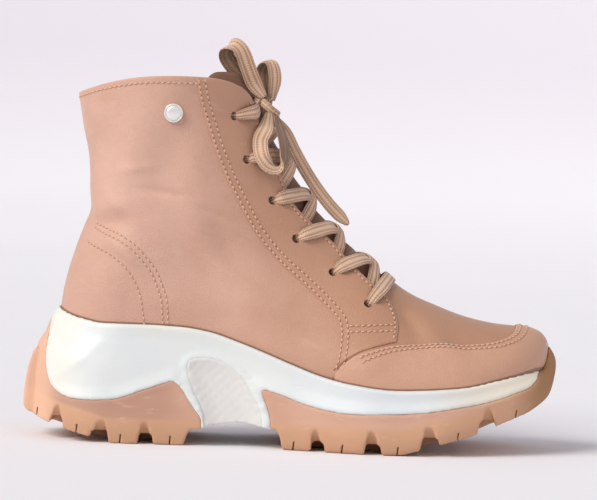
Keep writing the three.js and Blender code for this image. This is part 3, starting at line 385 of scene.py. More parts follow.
knot_wraps = [
    # the strand that goes round the loops, from behind over the front
    [
        ((-0.0046, 0.0032, 0.0028), (0.3, 0.3, 0.9)),
        ((-0.005, -0.0012, 0.0044), (0.3, 0.2, 0.9)),
        ((-0.0014, -0.0052, 0.0026), (0.45, 0, 0.9)),
        ((0.003, -0.0056, -0.001), (0.5, 0, 0.86)),
        ((0.0062, -0.0024, -0.0034), (0.4, 0.3, 0.85)),
        ((0.006, 0.0022, -0.0034), (0.4, -0.3, 0.85)),
        ((0.0022, 0.0048, -0.001), (0.3, 0, 0.9)),
        ((-0.0026, 0.0046, 0.0016), (0.3, 0, 0.9)),
    ],
    [
        ((-0.0032, -0.0014, -0.0038), (0.9, 0, -0.3)),
        ((-0.0034, -0.0044, -0.0004), (0.9, 0.1, -0.3)),
        ((-0.0008, -0.0046, 0.0034), (0.9, 0.2, 0)),
        ((0.0012, -0.001, 0.0052), (0.9, 0, 0)),
        ((0.0014, 0.003, 0.0036), (0.9, 0, 0)),
        ((0.0004, 0.0044, -0.0012), (0.9, 0, 0)),
        ((-0.0016, 0.0024, -0.0044), (0.9, 0, 0)),
    ],
]


def from_knot(route, wide):
    return [[*(knot_at + np.array(place)), *across, wide] for place, across in route]


knot_mesh = bmesh.new()
bmesh.ops.create_uvsphere(knot_mesh, u_segments=24, v_segments=16, radius=0.0042)
bmesh.ops.scale(knot_mesh, vec=(0.8, 0.95, 0.95), verts=knot_mesh.verts)
bmesh.ops.translate(knot_mesh, vec=knot_at.tolist(), verts=knot_mesh.verts)
knot_mesh.loops.layers.uv.new("laid")
add_parts(knot_mesh, [lace_strip(from_knot(route, lace_wide * 0.62))[0] for route in knot_wraps])
lace_knot = as_piece("lace_knot_woven", knot_mesh, [lace_weave])
stretch_uv(lace_knot, 1, 0.02)
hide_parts("lace_knot")
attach(lace_knot, "root")

for name, route in bow.items():
    spread = {"lace_loop_back": 1.2, "lace_loop_low": 1.16, "lace_end_front": 0.94}.get(name, 1)
    rows = from_knot(route, lace_wide * spread)
    for narrow in (0, -1) if "loop" in name else (0,):
        rows[narrow][6] = lace_wide * 0.6
    mesh, centre_line, length = lace_strip(rows, (False, name == "lace_end_front"))
    piece = as_piece(f"{name}_woven", mesh, [lace_weave])
    stretch_uv(piece, 1, length)
    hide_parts(name)
    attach(piece, "root")


# The form that every piece below follows. In the side view four lines bound the sole and four the
# upper, and short tables give the breadths. x runs to the toe, z up; side -1 is the outer one.
sole_length, sole_breadth, sole_height = 0.28, 0.104, 0.0614
boot_height, ball_breadth, shaft_breadth = 0.1897, 0.092, 0.075
heel_radius, toe_radius, toe_swing = 0.04, 0.062, 0.005
heel_round, toe_round = 0.033, 0.05


def along_sole(share):
    return (share - 0.5) * sole_length


def share_at(x):
    return x / sole_length + 0.5


def soft_step(low, high, value):
    k = np.clip((value - low) / (high - low), 0, 1)
    return k * k * (3 - 2 * k)


def rounded(distance, radius, power=2.0):
    """Quarter-round easing: 0 at an edge, 1 once the distance reaches the radius."""
    return np.maximum(0, 1 - (1 - np.clip(distance / radius, 0, 1)) ** power) ** (1 / power)


def middle(x):
    """How far the shoe's middle line swings inwards towards the toe."""
    return toe_swing * np.maximum(0, (share_at(x) - 0.75) / 0.25) ** 2


def through(*rows):
    """A smooth function through the rows of a table that never overshoots them."""
    xs, ys = np.array(rows, float).T
    steps = np.diff(ys) / np.diff(xs)
    slopes = np.concatenate([steps[:1], np.zeros(len(steps) - 1), steps[-1:]])
    same = steps[:-1] * steps[1:] > 0
    total = np.where(same, steps[:-1] + steps[1:], 1)
    slopes[1:-1] = np.where(same, 2 * steps[:-1] * steps[1:] / total, 0)

    def value(at):
        at = np.asarray(at, float)
        held = np.clip(at, xs[0], xs[-1])
        i = np.clip(np.searchsorted(xs, held, side="right") - 1, 0, len(xs) - 2)
        h = xs[i + 1] - xs[i]
        k = (held - xs[i]) / h
        curve = (1 + 2 * k) * (1 - k) ** 2 * ys[i] + k * (1 - k) ** 2 * h * slopes[i]
        curve += k * k * (3 - 2 * k) * ys[i + 1] + k * k * (k - 1) * h * slopes[i + 1]
        return curve + (at - held) * np.where(at < xs[0], slopes[0], slopes[-1])

    return value


def side_line(points):
    """A line in the side view through points (x, z), read by its share of length."""
    line, _ = smooth_line([(x, 0, z) for x, z in points], 0.0004)
    shares = np.linspace(0, 1, len(line))
    return lambda k: np.stack([np.interp(k, shares, line[:, n]) for n in (0, 2)], axis=-1)


def x_at_height(line):
    """Where a side-view line is along the boot, read by its height."""
    points = line(np.linspace(0, 1, 801))
    return lambda z: np.interp(z, points[:, 1], points[:, 0])


def sole_points(rows):
    return [(along_sole(at), up * sole_height) for at, up in rows]


# Sole, side view: share of the length, and height as a share of the sole's height
top_share = through(
    (0.059, 1.108), (0.083, 1.059), (0.11, 1.028), (0.149, 1), (0.228, 1), (0.294, 0.991),
    (0.346, 0.957), (0.399, 0.884), (0.452, 0.798), (0.506, 0.705), (0.559, 0.624), (0.612, 0.573),
    (0.691, 0.538), (0.809, 0.57), (0.887, 0.642), (0.952, 0.718), (0.9646, 0.739), (0.969, 0.85),
    (0.973, 0.967),
)
ground_share = through(
    (0.011, 0.2), (0.03, 0.165), (0.082, 0.098), (0.13, 0.045), (0.172, 0), (0.7, 0),
    (0.738, 0.042), (0.78, 0.098), (0.845, 0.18), (0.885, 0.262), (0.926, 0.33), (0.954, 0.409),
)
floor_share = through(
    (0.06, 0.79), (0.18, 0.765), (0.32, 0.735), (0.43, 0.62), (0.535, 0.475), (0.64, 0.395),
    (0.75, 0.4), (0.857, 0.465), (0.93, 0.555), (0.972, 0.64),
)
# Sole seen from above: half-breadths as shares of the breadth, and how far the rim leans in
outer_share = through(
    (0, 0.375), (0.15, 0.385), (0.35, 0.36), (0.5, 0.41), (0.66, 0.5), (0.75, 0.49), (0.88, 0.43),
    (1, 0.4),
)
inner_share = through(
    (0, 0.375), (0.15, 0.38), (0.35, 0.325), (0.5, 0.37), (0.66, 0.465), (0.75, 0.5),
    (0.88, 0.465), (1, 0.43),
)
rim_share = through(
    (0, 0.86), (0.15, 0.87), (0.35, 0.91), (0.5, 0.94), (0.66, 0.955), (0.88, 0.96), (1, 0.96)
)
flank_out = through((0, 0.955), (0.12, 0.985), (0.3, 1), (1, 1))
flank_lean = through((0, 0), (0.3, 0), (0.55, 0.16), (0.8, 0.55), (1, 1))


def sole_top(x):
    return top_share(share_at(x)) * sole_height


def ground(x):
    return ground_share(share_at(x)) * sole_height


def floor_height(x):
    return floor_share(share_at(x)) * sole_height


sole_back = side_line(sole_points([
    (0.011, 0.2), (0.013, 0.28), (0.014, 0.42), (0.015, 0.56), (0.017, 0.68), (0.022, 0.79),
    (0.034, 0.88), (0.043, 0.985), (0.059, 1.108),
]))
sole_front = side_line(sole_points([
    (0.954, 0.409), (0.968, 0.44), (0.9846, 0.526), (0.9946, 0.612), (1, 0.733), (0.998, 0.805),
    (0.993, 0.852), (0.984, 0.91), (0.973, 0.967),
]))


def patch(low, high, back, front):
    """Four side-view lines filled smoothly: low and high run along s, back and front along t."""
    corner = [low(0.0), low(1.0), high(0.0), high(1.0)]

    def filled(s, t):
        sides = (1 - t)[:, None] * low(s) + t[:, None] * high(s)
        ends = (1 - s)[:, None] * back(t) + s[:, None] * front(t)
        shares = [(1 - s) * (1 - t), s * (1 - t), (1 - s) * t, s * t]
        return sides + ends - sum(k[:, None] * np.asarray(c) for k, c in zip(shares, corner))

    return filled


def over(height, line_back, line_front, share):
    """A side-view line that follows a height between the ends of two other lines."""
    start, end = line_back(share)[0], line_front(share)[0]

    def line(s):
        x = start + (end - start) * np.asarray(s, float)
        return np.stack([x, height(x)], axis=-1)

    return line


sole_patch = patch(
    over(ground, sole_back, sole_front, 0.0), over(sole_top, sole_back, sole_front, 1.0),
    sole_back, sole_front,
)


def sole_half(x, level, side, inset):
    """Half-breadth of the sole at a level from its ground line, 0, to its rim, 1."""
    lean = 1 + (rim_share(share_at(x)) - 1) * flank_lean(level)
    breadth = np.where(side < 0, outer_share(share_at(x)), inner_share(share_at(x)))
    half = np.maximum(0, breadth * sole_breadth * flank_out(level) * lean - inset)
    half = half * rounded(x - sole_back(level)[:, 0], heel_radius)
    return half * rounded(sole_front(level)[:, 0] - x, toe_radius, 2.1)


def run_at(turn):
    """How far forward a turn round the boot has come: 0 at the back, 1 at the front."""
    return (1 - np.cos(turn)) / 2


def side_at(turn):
    return np.where(np.sin(turn) >= 0, -1, 1)


def sole_point(turn, level, inset=0.0, relief=None):
    """A place on the sole's flank: turn goes once round from the back, the outer side first."""
    x, z = sole_patch(run_at(turn), level).T
    side = side_at(turn)
    half = sole_half(x, level, side, inset)
    if relief:
        half = half + relief(x, z) * np.clip(half / 0.01, 0, 1)
    return np.stack([x, middle(x) + side * half, z], axis=1)


def block(point, around=280, levels=64, crown=16):
    """A closed block from rings of places, closed across the middle at the bottom and the top."""
    total = levels + 2 * crown

    def place(u, v):
        row = v * total
        level = np.clip((row - crown) / levels, 0, 1)
        points, opposite = point(2 * np.pi * u, level), point(2 * np.pi * (1 - u), level)
        reach = np.clip(np.minimum(row, total - row) / crown, 0, 1)
        share = (0.5 + 0.5 * reach)[:, None]
        points[:, ::2] = points[:, ::2] * share + opposite[:, ::2] * (1 - share)
        centre = middle(points[:, 0])
        points[:, 1] = centre + (points[:, 1] - centre) * reach
        return points

    return laid_grid(around, total, place, joined=True)


def sole_block(name, inset=0.0, relief=None, materials=()):
    """The sole's whole form as a block, drawn in by an inset."""
    mesh = block(lambda turn, level: sole_point(turn, level, inset, relief))
    return as_piece(name, mesh, materials)


def pushed_through(outline, low=-0.08, high=0.08):
    """A side-view outline pushed across the boot as a closed form."""
    bm = bmesh.new()
    cap = bm.faces.new([bm.verts.new((x, low, z)) for x, z in outline])
    made = bmesh.ops.extrude_face_region(bm, geom=[cap])["geom"]
    moved = [part for part in made if isinstance(part, bmesh.types.BMVert)]
    bmesh.ops.translate(bm, vec=(0, high - low, 0), verts=moved)
    bmesh.ops.triangulate(bm, faces=bm.faces)
    bmesh.ops.recalc_face_normals(bm, faces=bm.faces)
    return as_piece("former", bm)


def side_shape(*stretches):
    """A closed side-view outline from smooth stretches that meet at corners."""
    outline = []
    for rows in stretches:
        line, _ = smooth_line([(x, 0, z) for x, z in sole_points(rows)], 0.0015)
        outline += [(x, z) for x, z in line[:, [0, 2]].tolist() if (x, z) not in outline[-1:]]
    return outline if outline[0] != outline[-1] else outline[:-1]


def grown(outline, by):
    """The same outline, moved outwards by a distance."""
    points = np.array(outline)
    ahead, behind = np.roll(points, -1, 0), np.roll(points, 1, 0)
    area = np.sum(points[:, 0] * ahead[:, 1] - ahead[:, 0] * points[:, 1])
    tangent = unit(ahead - behind) * np.sign(area) * by
    return [(x + tz, z - tx) for (x, z), (tx, tz) in zip(points.tolist(), tangent.tolist())]


def settle(piece):
    """Applies a piece's modifiers."""
    bpy.context.view_layer.update()
    mesh = bpy.data.meshes.new_from_object(
        piece.evaluated_get(bpy.context.evaluated_depsgraph_get())
    )
    piece.modifiers.clear()
    piece.data = mesh
    return piece


def carved(piece, formers, operation="DIFFERENCE"):
    """Cuts closed forms out of a piece, adds them, or keeps what they share with it."""
    for former in formers:
        change = piece.modifiers.new("carve", "BOOLEAN")
        change.operation = operation
        change.solver = "MANIFOLD"
        change.object = former
    settle(piece)
    for former in formers:
        bpy.data.objects.remove(former)
    return piece


def moulded(piece, grain, softening=4):
    """Gives a carved piece the small even roundings of a moulded one."""
    mould = piece.modifiers.new("mould", "REMESH")
    mould.mode = "VOXEL"
    mould.voxel_size = grain
    soften = piece.modifiers.new("soften", "SMOOTH")
    soften.factor = 0.5
    soften.iterations = softening
    settle(piece)
    smooth_faces(piece.data)
    return piece


def distance_to(outline, x, z):
    """Distance in the side view from places to an outline."""
    line = np.array(outline)
    far = np.full(len(x), 1e9)
    for k in range(0, len(line), 8):
        near = line[k:k + 8]
        square = (x[:, None] - near[:, 0]) ** 2 + (z[:, None] - near[:, 1]) ** 2
        far = np.minimum(far, square.min(1))
    return np.sqrt(far)


# Upper, side view: the back seam and the front ridge climb from the floor inside to the collar
def body_points(rows, base):
    return [(along_sole(at), base + (boot_height - base) * up) for at, up in rows]


upper_back = side_line(body_points([
    (0.069, 0), (0.0605, 0.1), (0.0625, 0.15), (0.067, 0.21), (0.0735, 0.27), (0.0835, 0.34),
    (0.0915, 0.39), (0.101, 0.442), (0.1105, 0.49), (0.1125, 0.52), (0.1095, 0.575),
    (0.108, 0.65), (0.104, 0.72), (0.0945, 0.8), (0.088, 0.87), (0.0825, 0.93),
], float(floor_height(along_sole(0.068)))))
upper_ridge = side_line(body_points([
    (0.966, 0), (0.978, 0.045), (0.9815, 0.085), (0.978, 0.125), (0.966, 0.153), (0.945, 0.169),
    (0.92, 0.177), (0.87, 0.186), (0.817, 0.208), (0.764, 0.243), (0.722, 0.275), (0.686, 0.317),
    (0.654, 0.367), (0.618, 0.422), (0.58, 0.484), (0.544, 0.556), (0.512, 0.635), (0.483, 0.718),
    (0.456, 0.802), (0.436, 0.865),
], float(floor_height(along_sole(0.968)))))
collar_start, collar_end = upper_back(1.0), upper_ridge(1.0)
collar_line = side_line([
    tuple(collar_start),
    *(
        (
            collar_start[0] + (collar_end[0] - collar_start[0]) * along,
            collar_start[1] + (boot_height - collar_start[1]) * up,
        )
        for along, up in (
            (0.12, 0.4), (0.22, 0.66), (0.34, 0.87), (0.46, 0.97), (0.58, 1), (0.7, 0.98),
            (0.78, 0.88), (0.85, 0.65), (0.905, 0.28),
        )
    ),
    tuple(collar_end),
])
upper_patch = patch(
    over(floor_height, upper_back, upper_ridge, 0.0), collar_line, upper_back, upper_ridge
)

back_at, ridge_at = x_at_height(upper_back), x_at_height(upper_ridge)
ridge_samples = upper_ridge(np.linspace(0, 1, 1601))
peak_at = int(np.argmax(ridge_samples[:400, 0]))
peak = ridge_samples[peak_at]
ridge_over = ridge_samples[peak_at:][::-1]


def ridge_height(x):
    height = np.interp(x, ridge_over[:, 0], ridge_over[:, 1])
    return height + np.maximum(0, collar_end[0] - x) * 1.6


# Foot and shaft sections: half-breadths as shares, and how full they are towards the top or front
foot_outer = through(
    (0.06, 0.34), (0.18, 0.345), (0.35, 0.335), (0.5, 0.4), (0.66, 0.5), (0.75, 0.49),
    (0.88, 0.44), (1, 0.41),
)
foot_inner = through(
    (0.06, 0.34), (0.18, 0.342), (0.35, 0.3), (0.5, 0.35), (0.66, 0.46), (0.75, 0.5),
    (0.88, 0.475), (1, 0.445),
)
foot_full = through(
    (0.06, 2.6), (0.18, 2.4), (0.35, 1.7), (0.5, 1.55), (0.66, 1.75), (0.75, 1.9), (0.88, 2.15),
    (1, 2.3),
)
shaft_outer = through((0, 0.45), (0.25, 0.45), (0.5, 0.465), (0.75, 0.485), (1, 0.5))
shaft_inner = through((0, 0.45), (0.25, 0.455), (0.5, 0.47), (0.75, 0.485), (1, 0.5))
shaft_front = through((0, 1.6), (0.25, 1.55), (0.5, 1.55), (0.75, 1.6), (1, 1.7))


def upper_half(x, z, side):
    """Half-breadth of the upper at a place in the side view."""
    low = floor_height(x)
    rise = np.clip((z - low) / np.maximum(0.001, ridge_height(x) - low), 0, 1)
    full = foot_full(share_at(x))
    tuck = 1 - 0.07 * (1 - np.clip(rise / 0.3, 0, 1)) ** 2
    breadth = np.where(side < 0, foot_outer(share_at(x)), foot_inner(share_at(x))) * ball_breadth
    foot = breadth * tuck * np.maximum(0, 1 - rise**full) ** (1 / (0.35 + 0.75 * full))
    toe_face = np.where(z < peak[1], ridge_at(z), peak[0])
    foot = foot * rounded(x - back_at(z), heel_round) * rounded(toe_face - x, toe_round)
    up = np.clip((z - sole_height) / (boot_height - sole_height), 0, 1)
    back = back_at(z)
    along = (x - back) / np.maximum(ridge_at(z) - back, 0.001)
    shaft = np.where(side < 0, shaft_outer(up), shaft_inner(up)) * shaft_breadth
    shaft = shaft * rounded(along, 0.5, 2.2) * rounded(1 - along, 0.5, shaft_front(up))
    share = soft_step(sole_height * 1.25, sole_height * 2.1, z)
    return foot * (1 - share) + shaft * share


def upper_place(turn, t):
    x, z = upper_patch(run_at(turn), np.clip(t, 0, 1)).T
    side = side_at(turn)
    seam = np.abs(np.sin(turn))
    half = upper_half(x, z, side) * np.clip(seam / 0.04, 0, 1) * (seam > 1e-9)
    return np.stack([x, middle(x) + side * half, z], axis=1)


def upper_point(turn, t, offset=0.0):
    """A place on or beside the upper's form: turn goes round from the back, outer side first."""
    low, high = np.clip(t - 0.01, 0, 1), np.clip(t + 0.01, 0, 1)
    around = upper_place(turn + 0.03, t) - upper_place(turn - 0.03, t)
    rise = upper_place(turn, high) - upper_place(turn, low)
    return upper_place(turn, t) + unit(np.cross(around, rise)) * np.reshape(offset, (-1, 1))


# The rubber of the sole: a heel part and a forefoot part that climbs over the toe as a bumper.
# Both are moulded with lugs along their edges, and the flanks step out a little at the lugs.
lug_depth, lug_reach = 0.005, 0.021
channel_wide, channel_at = 0.004, 0.022
below = -0.3
heel_edge_back = [
    (0.046, 1.1), (0.045, 0.9), (0.0425, 0.79), (0.0425, 0.67), (0.045, 0.573), (0.054, 0.468),
    (0.07, 0.4), (0.088, 0.366), (0.115, 0.352), (0.154, 0.36), (0.18, 0.375), (0.206, 0.415),
    (0.232, 0.461), (0.258, 0.502), (0.281, 0.54),
]
heel_edge_front = [
    (0.281, 0.54), (0.2975, 0.484), (0.311, 0.39), (0.325, 0.3), (0.3365, 0.228), (0.3365, 0.135),
]
heel_shape = side_shape(
    heel_edge_back, heel_edge_front, [(0.3365, 0.135), (0.317, 0.138), (0.306, 0.02)],
    [(0.306, below), (-0.05, below)], [(-0.05, 1.1)],
)
fore_edge_back = [
    (0.479, 0.16), (0.4655, 0.17), (0.465, 0.213), (0.462, 0.296), (0.453, 0.402), (0.444, 0.508),
]
fore_edge_top = [
    (0.444, 0.508), (0.468, 0.482), (0.495, 0.445), (0.521, 0.402), (0.548, 0.37), (0.574, 0.35),
    (0.6, 0.337), (0.64, 0.337), (0.679, 0.344), (0.731, 0.358), (0.771, 0.383), (0.81, 0.414),
    (0.849, 0.445), (0.888, 0.487), (0.914, 0.528), (0.94, 0.567), (0.9525, 0.606),
    (0.96, 0.655), (0.9646, 0.739),
]
toe_edge = [(0.9646, 0.739), (0.97, 0.76), (0.976, 0.8), (0.9785, 0.87), (0.976, 1.05)]
fore_shape = side_shape(
    [(0.4875, below), (0.4875, 0.013), (0.479, 0.16)], fore_edge_back, fore_edge_top, toe_edge,
    [(1.05, 1.05), (1.05, below)],
)
bumper_shape = side_shape(
    [(0.954, 0.35), (0.9545, 0.5), (0.96, 0.64), (0.9665, 0.74), *toe_edge[1:]],
    [(1.05, 1.05), (1.05, 0.35)],
)
arch_void_rows = [
    (0.316, 0.143), (0.3375, 0.143), (0.352, 0.171), (0.378, 0.192), (0.405, 0.208),
    (0.431, 0.195), (0.4575, 0.17), (0.481, 0.16),
]
arch_void = side_shape(
    [(0.3, below)], [(0.303, 0.02), (0.316, 0.143)], arch_void_rows, [(0.49, 0.02), (0.495, below)]
)


def bead(distance, at, wide):
    """A soft bead at a distance from a line: 1 along its crest, 0 away from it."""
    return np.exp(-(((distance - at) / wide) ** 2))


def lug_relief(x, z):
    """The flank's lower part, with the lugs on it, stands out a little under a soft crease."""
    lug_step, edge_bead = 0.0006, 0.0003
    stepped = 1 - soft_step(0.0125, 0.0165, z - ground(x))
    return lug_step * stepped + edge_bead * bead(distance_to(white_edges, x, z), 0.0016, 0.0011)


white_edges = side_shape(heel_edge_back, heel_edge_front)
white_edges += side_shape(fore_edge_back, fore_edge_top)
# Middle of each side groove along the sole, width at the floor, height and lean
groove_rows = [
    (0.0685, 0.008, 0.0105, 0), (0.15, 0.011, 0.0092, 0.0011), (0.2355, 0.009, 0.011, -0.0006),
    (0.5545, 0.008, 0.0114, -0.0017), (0.6555, 0.010, 0.0123, -0.0011),
    (0.76, 0.011, 0.0098, -0.0008), (0.865, 0.0105, 0.0092, 0.0006),
]


def shaped_cubes(places):
    """Closed six-sided forms in one mesh, their corners given by a function of three signs."""
    bm = bmesh.new()
    for place in places:
        for corner in bmesh.ops.create_cube(bm, size=2)["verts"]:
            corner.co = place(*corner.co)
    bmesh.ops.recalc_face_normals(bm, faces=bm.faces)
    return as_piece("former", bm)


def flank_at(at, side):
    """A place along the sole: x, the ground line's height, and the sole's middle and flank."""
    x = along_sole(at)
    share = outer_share(at) if side < 0 else inner_share(at)
    half = share * sole_breadth * float(rounded(x - sole_back(0.2)[0], heel_radius))
    half *= float(rounded(sole_front(0.2)[0] - x, toe_radius, 2.1))
    return x, float(ground(x)), float(middle(x)), float(half)


def groove_mouth(row, side):
    """The wedge-shaped mouth of a groove in the flank, narrow at its top."""
    at, wide, high, lean = row
    x, low, centre, flank = flank_at(at, side)

    def place(sx, sy, sz):
        if sz < 0:
            half, z = wide / 2, low - lug_depth
        elif sy > 0:
            half, z = wide * 0.02, low + high + 0.007
        else:
            half, z = wide * 0.3, low + lug_depth
        out = flank + 0.006 if sy > 0 else flank - 0.0055
        return x + sx * half + (lean if sz > 0 else 0), centre + side * out, z

    return place


def groove_floor(row, side):
    """The channel that a groove goes on as, further in under the sole."""
    at, wide, _, _ = row
    x, low, centre, flank = flank_at(at, side)

    def place(sx, sy, sz):
        half = wide / 2 if sz < 0 else wide * 0.38
        out = flank + 0.004 if sy > 0 else flank - lug_reach
        return x + sx * half, centre + side * out, low + sz * lug_depth

    return place


def cross_channel(at):
    x, low, _, _ = flank_at(at, 1)
    return lambda sx, sy, sz: (
        x + sx * channel_wide / 2, sy * (channel_at + 0.002), low + sz * lug_depth
    )


def long_channels(start, end):
    x = np.linspace(along_sole(start), along_sole(end), 25)
    band = [*zip(x, ground(x) + lug_depth), *zip(x[::-1], ground(x[::-1]) - lug_depth)]
    half = channel_wide / 2
    return [
        pushed_through(band, side * channel_at - half, side * channel_at + half)
        for side in (-1, 1)
    ]


def treaded(piece, rows, crossings, start, end):
    """Cuts the side grooves and the channels of the tread."""
    sides = [(row, side) for row in rows for side in (-1, 1)]
    return carved(piece, [
        shaped_cubes([groove_mouth(row, side) for row, side in sides]),
        shaped_cubes([groove_floor(row, side) for row, side in sides]),
        shaped_cubes([cross_channel(at) for at in crossings]),
        *long_channels(start, end),
    ])


def sipes(rows):
    """The short thin slit in the middle of each lug's lower edge."""

    def slit(at, side):
        x, low, centre, flank = flank_at(at, side)
        return lambda sx, sy, sz: (
            x + sx * 0.0004 + (0.0006 if sz > 0 else 0),
            centre + side * (flank + 0.004 if sy > 0 else flank - 0.004),
            low + (0.0046 if sz > 0 else -0.002),
        )

    return shaped_cubes([slit(at, side) for at in rows for side in (-1, 1)])


def rubber_finish(name, base, light, dark):
    """Matt rubber with pale scuffs, darker towards the ground, with painted shade on the heel part
    and the toe bumper and painted light on the lugs and at the back of the heel.
    """
    rubber = Finish(name, {"Specular IOR Level": 0.35})
    cloud, fine = rubber.noise(0.035), rubber.noise(0.0011, 2)
    run, height = rubber.axis(0), rubber.axis(2)
    # Darker towards the ground.
    ground_darkening = (height * -1 + 0.016 + cloud * 0.012).between(0.0, 0.02)
    colour = rubber.blend(cloud.between(0.35, 0.75), base, light)
    # Darker over the heel part: painted shade under the foam's overhang.
    colour = rubber.blend((run * -1 - 0.05).between(0.0, 0.02) * 0.75, colour, paint(188, 147, 126))
    # Paler below the soft crease: painted light on the lugs' outward-tilted faces.
    above = rubber.node("Attribute", {"attribute_name": "above_ground"}, {}, "Fac")
    colour = rubber.blend(1 - above.between(0.0115, 0.0145), colour, paint(214, 168, 134))
    colour = rubber.blend(ground_darkening * 0.3, colour, dark)
    # Browner, darker toe bumper: painted shade.
    colour = rubber.blend((run - 0.112).between(0.0, 0.022) * 0.92, colour, paint(164, 120, 80))
    # Paler at the back of the heel: painted light from the window's side.
    heel_back_light = (run * -1 - 0.118).between(0.0, 0.012)
    colour = rubber.blend(heel_back_light * 0.7, colour, paint(240, 194, 164))
    scuffs = rubber.noise(0.006, 4, (0.6, 1, 2.2)).between(0.62, 0.74)
    colour = rubber.blend(scuffs * 0.22, colour, paint(238, 205, 186))
    return rubber.lit(colour, 0.62 + cloud * 0.16, fine * 0.5 + cloud, 0.00018)


rubber_skin = rubber_finish(
    "rubber_skin", paint(204, 159, 135), paint(214, 171, 148), paint(170, 126, 98)
)
rib_rows = sole_points([
    (0.06, 0.2), (0.0235, 0.2), (0.017, 0.23), (0.013, 0.27), (0.0138, 0.36), (0.0165, 0.48),
    (0.021, 0.6), (0.0285, 0.72), (0.036, 0.76), (0.06, 0.6),
])
rib_shift, rib_half, overlap = -0.0036, 0.015, 0.0003
heel_rubber = sole_block("outsole_heel_rubber", 0.0, lug_relief, [rubber_skin])
carved(heel_rubber, [pushed_through(grown(heel_shape, overlap))], "INTERSECT")
heel_rib = pushed_through([(x + rib_shift, z) for x, z in rib_rows], -rib_half, rib_half)
carved(heel_rubber, [heel_rib], "UNION")
treaded(heel_rubber, groove_rows[:3], [0.11, 0.195, 0.275], 0.05, 0.33)
moulded(heel_rubber, 0.0008)
carved(heel_rubber, [sipes([0.0268, 0.1064, 0.1879, 0.2796])])
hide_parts("outsole_heel")


def upper_seat(heel, toe):
    """The upper's form with room round it, more at the toe, where the guard lies on it."""

    def point(turn, level):
        ahead = soft_step(0.35, 0.6, run_at(turn))
        return upper_point(turn, level, heel + (toe - heel) * ahead)

    return as_piece("former", block(point, 240, 60))


bumper_out = 0.0015
fore_rubber = sole_block("outsole_forefoot_rubber", 0.0, lug_relief, [rubber_skin])
bumper = sole_block("bumper", -bumper_out)
carved(bumper, [pushed_through(bumper_shape)], "INTERSECT")
carved(fore_rubber, [pushed_through(fore_shape)], "INTERSECT")
carved(fore_rubber, [bumper], "UNION")
treaded(fore_rubber, groove_rows[3:], [0.605, 0.71, 0.81, 0.905], 0.46, 0.93)
carved(fore_rubber, [upper_seat(0.001, 0.001)])
moulded(fore_rubber, 0.0009)
carved(fore_rubber, [sipes([0.508, 0.5975, 0.699, 0.809, 0.918])])
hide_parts("outsole_forefoot")
for piece in (heel_rubber, fore_rubber):
    spots = np.array([v.co for v in piece.data.vertices])
    above = piece.data.attributes.new("above_ground", "FLOAT", "POINT")
    above.data.foreach_set("value", spots[:, 2] - ground(spots[:, 0]))
    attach(piece, "root")


# The midsole of pale foam between the rubber and the upper, and the arch piece let into its flanks.
# Its edges stand up as thin rounded rims, and its flanks are slightly hollow between them.
def foam_finish(name, base, cream, cool, hatch=0.0):
    """Satin foam, creamier higher up and at both ends, with a faint crossed hatch if wanted."""
    foam = Finish(name, {"Specular IOR Level": 0.5, "Coat Weight": 0.12, "Coat Roughness": 0.35})
    cloud, fine = foam.noise(0.05), foam.noise(0.0014, 2)
    colour = foam.blend(cloud.between(0.35, 0.7), base, cool)
    run, height = foam.axis(0), foam.axis(2)
    colour = foam.blend(((height - 0.05) / 0.02).between(0, 1) * 0.5, colour, cream)
    colour = foam.blend((run - 0.055).between(0.0, 0.06) * 0.7, colour, paint(242, 231, 204))
    colour = foam.blend((run * -1 - 0.104).between(0.0, 0.014) * 0.6, colour, paint(238, 235, 220))
    marks = foam.noise(0.012, 5, (0.35, 1, 3)).between(0.66, 0.76)
    colour = foam.blend(marks * 0.1, colour, paint(150, 144, 138))
    relief = fine * 0.35 + cloud
    if hatch:
        for way in (-1, 1):
            slanted = foam.node("Mapping", {}, {"Vector": foam.place(), "Scale": (way, 0, 1)})
            bands = {"Vector": slanted, "Scale": 110.0}
            relief = relief + foam.node("TexWave", {"bands_direction": "DIAGONAL"}, bands) * hatch
    return foam.lit(colour, 0.36 + cloud * 0.12, relief, 0.00012)


def foam_relief(x, z):
    """Beads along the rims and round the arch piece, hollow flanks, and a crease at the heel."""
    far = np.minimum(distance_to(white_edges, x, z), np.abs(sole_top(x) - z))
    rim = 0.0006 * bead(far, 0.0013, 0.0011)
    hollow = 0.0009 * soft_step(0.002, 0.008, far)
    crease = 0.0008 * bead(z - 0.031 - (x + 0.125) * 0.75, 0.0, 0.004)
    crease = crease * soft_step(-0.127, -0.118, x) * (1 - soft_step(-0.108, -0.092, x))
    return rim - hollow + crease + 0.0009 * bead(distance_to(arch_shape, x, z), 0.0011, 0.0011)


arch_shape = side_shape(
    [(0.343, 0.1), (0.34, 0.18), (0.336, 0.3), (0.3185, 0.476), (0.3095, 0.594), (0.3075, 0.678),
     (0.314, 0.726), (0.335, 0.743), (0.361, 0.734), (0.388, 0.679), (0.415, 0.575),
     (0.434, 0.435), (0.4485, 0.318), (0.4525, 0.2), (0.452, 0.1)]
)


def arch_relief(x, z):
    far = distance_to(arch_shape, x, z)
    return 0.0005 * bead(far, 0.0012, 0.001) - 0.0014 * soft_step(0.001, 0.009, far)


def arch_inside(shell):
    """The room inside an arch piece of a given wall, over the hollow under the arch."""
    return carved(
        sole_block("former", arch_sunk + shell),
        [pushed_through([(x, z + shell) for x, z in arch_void])],
    )


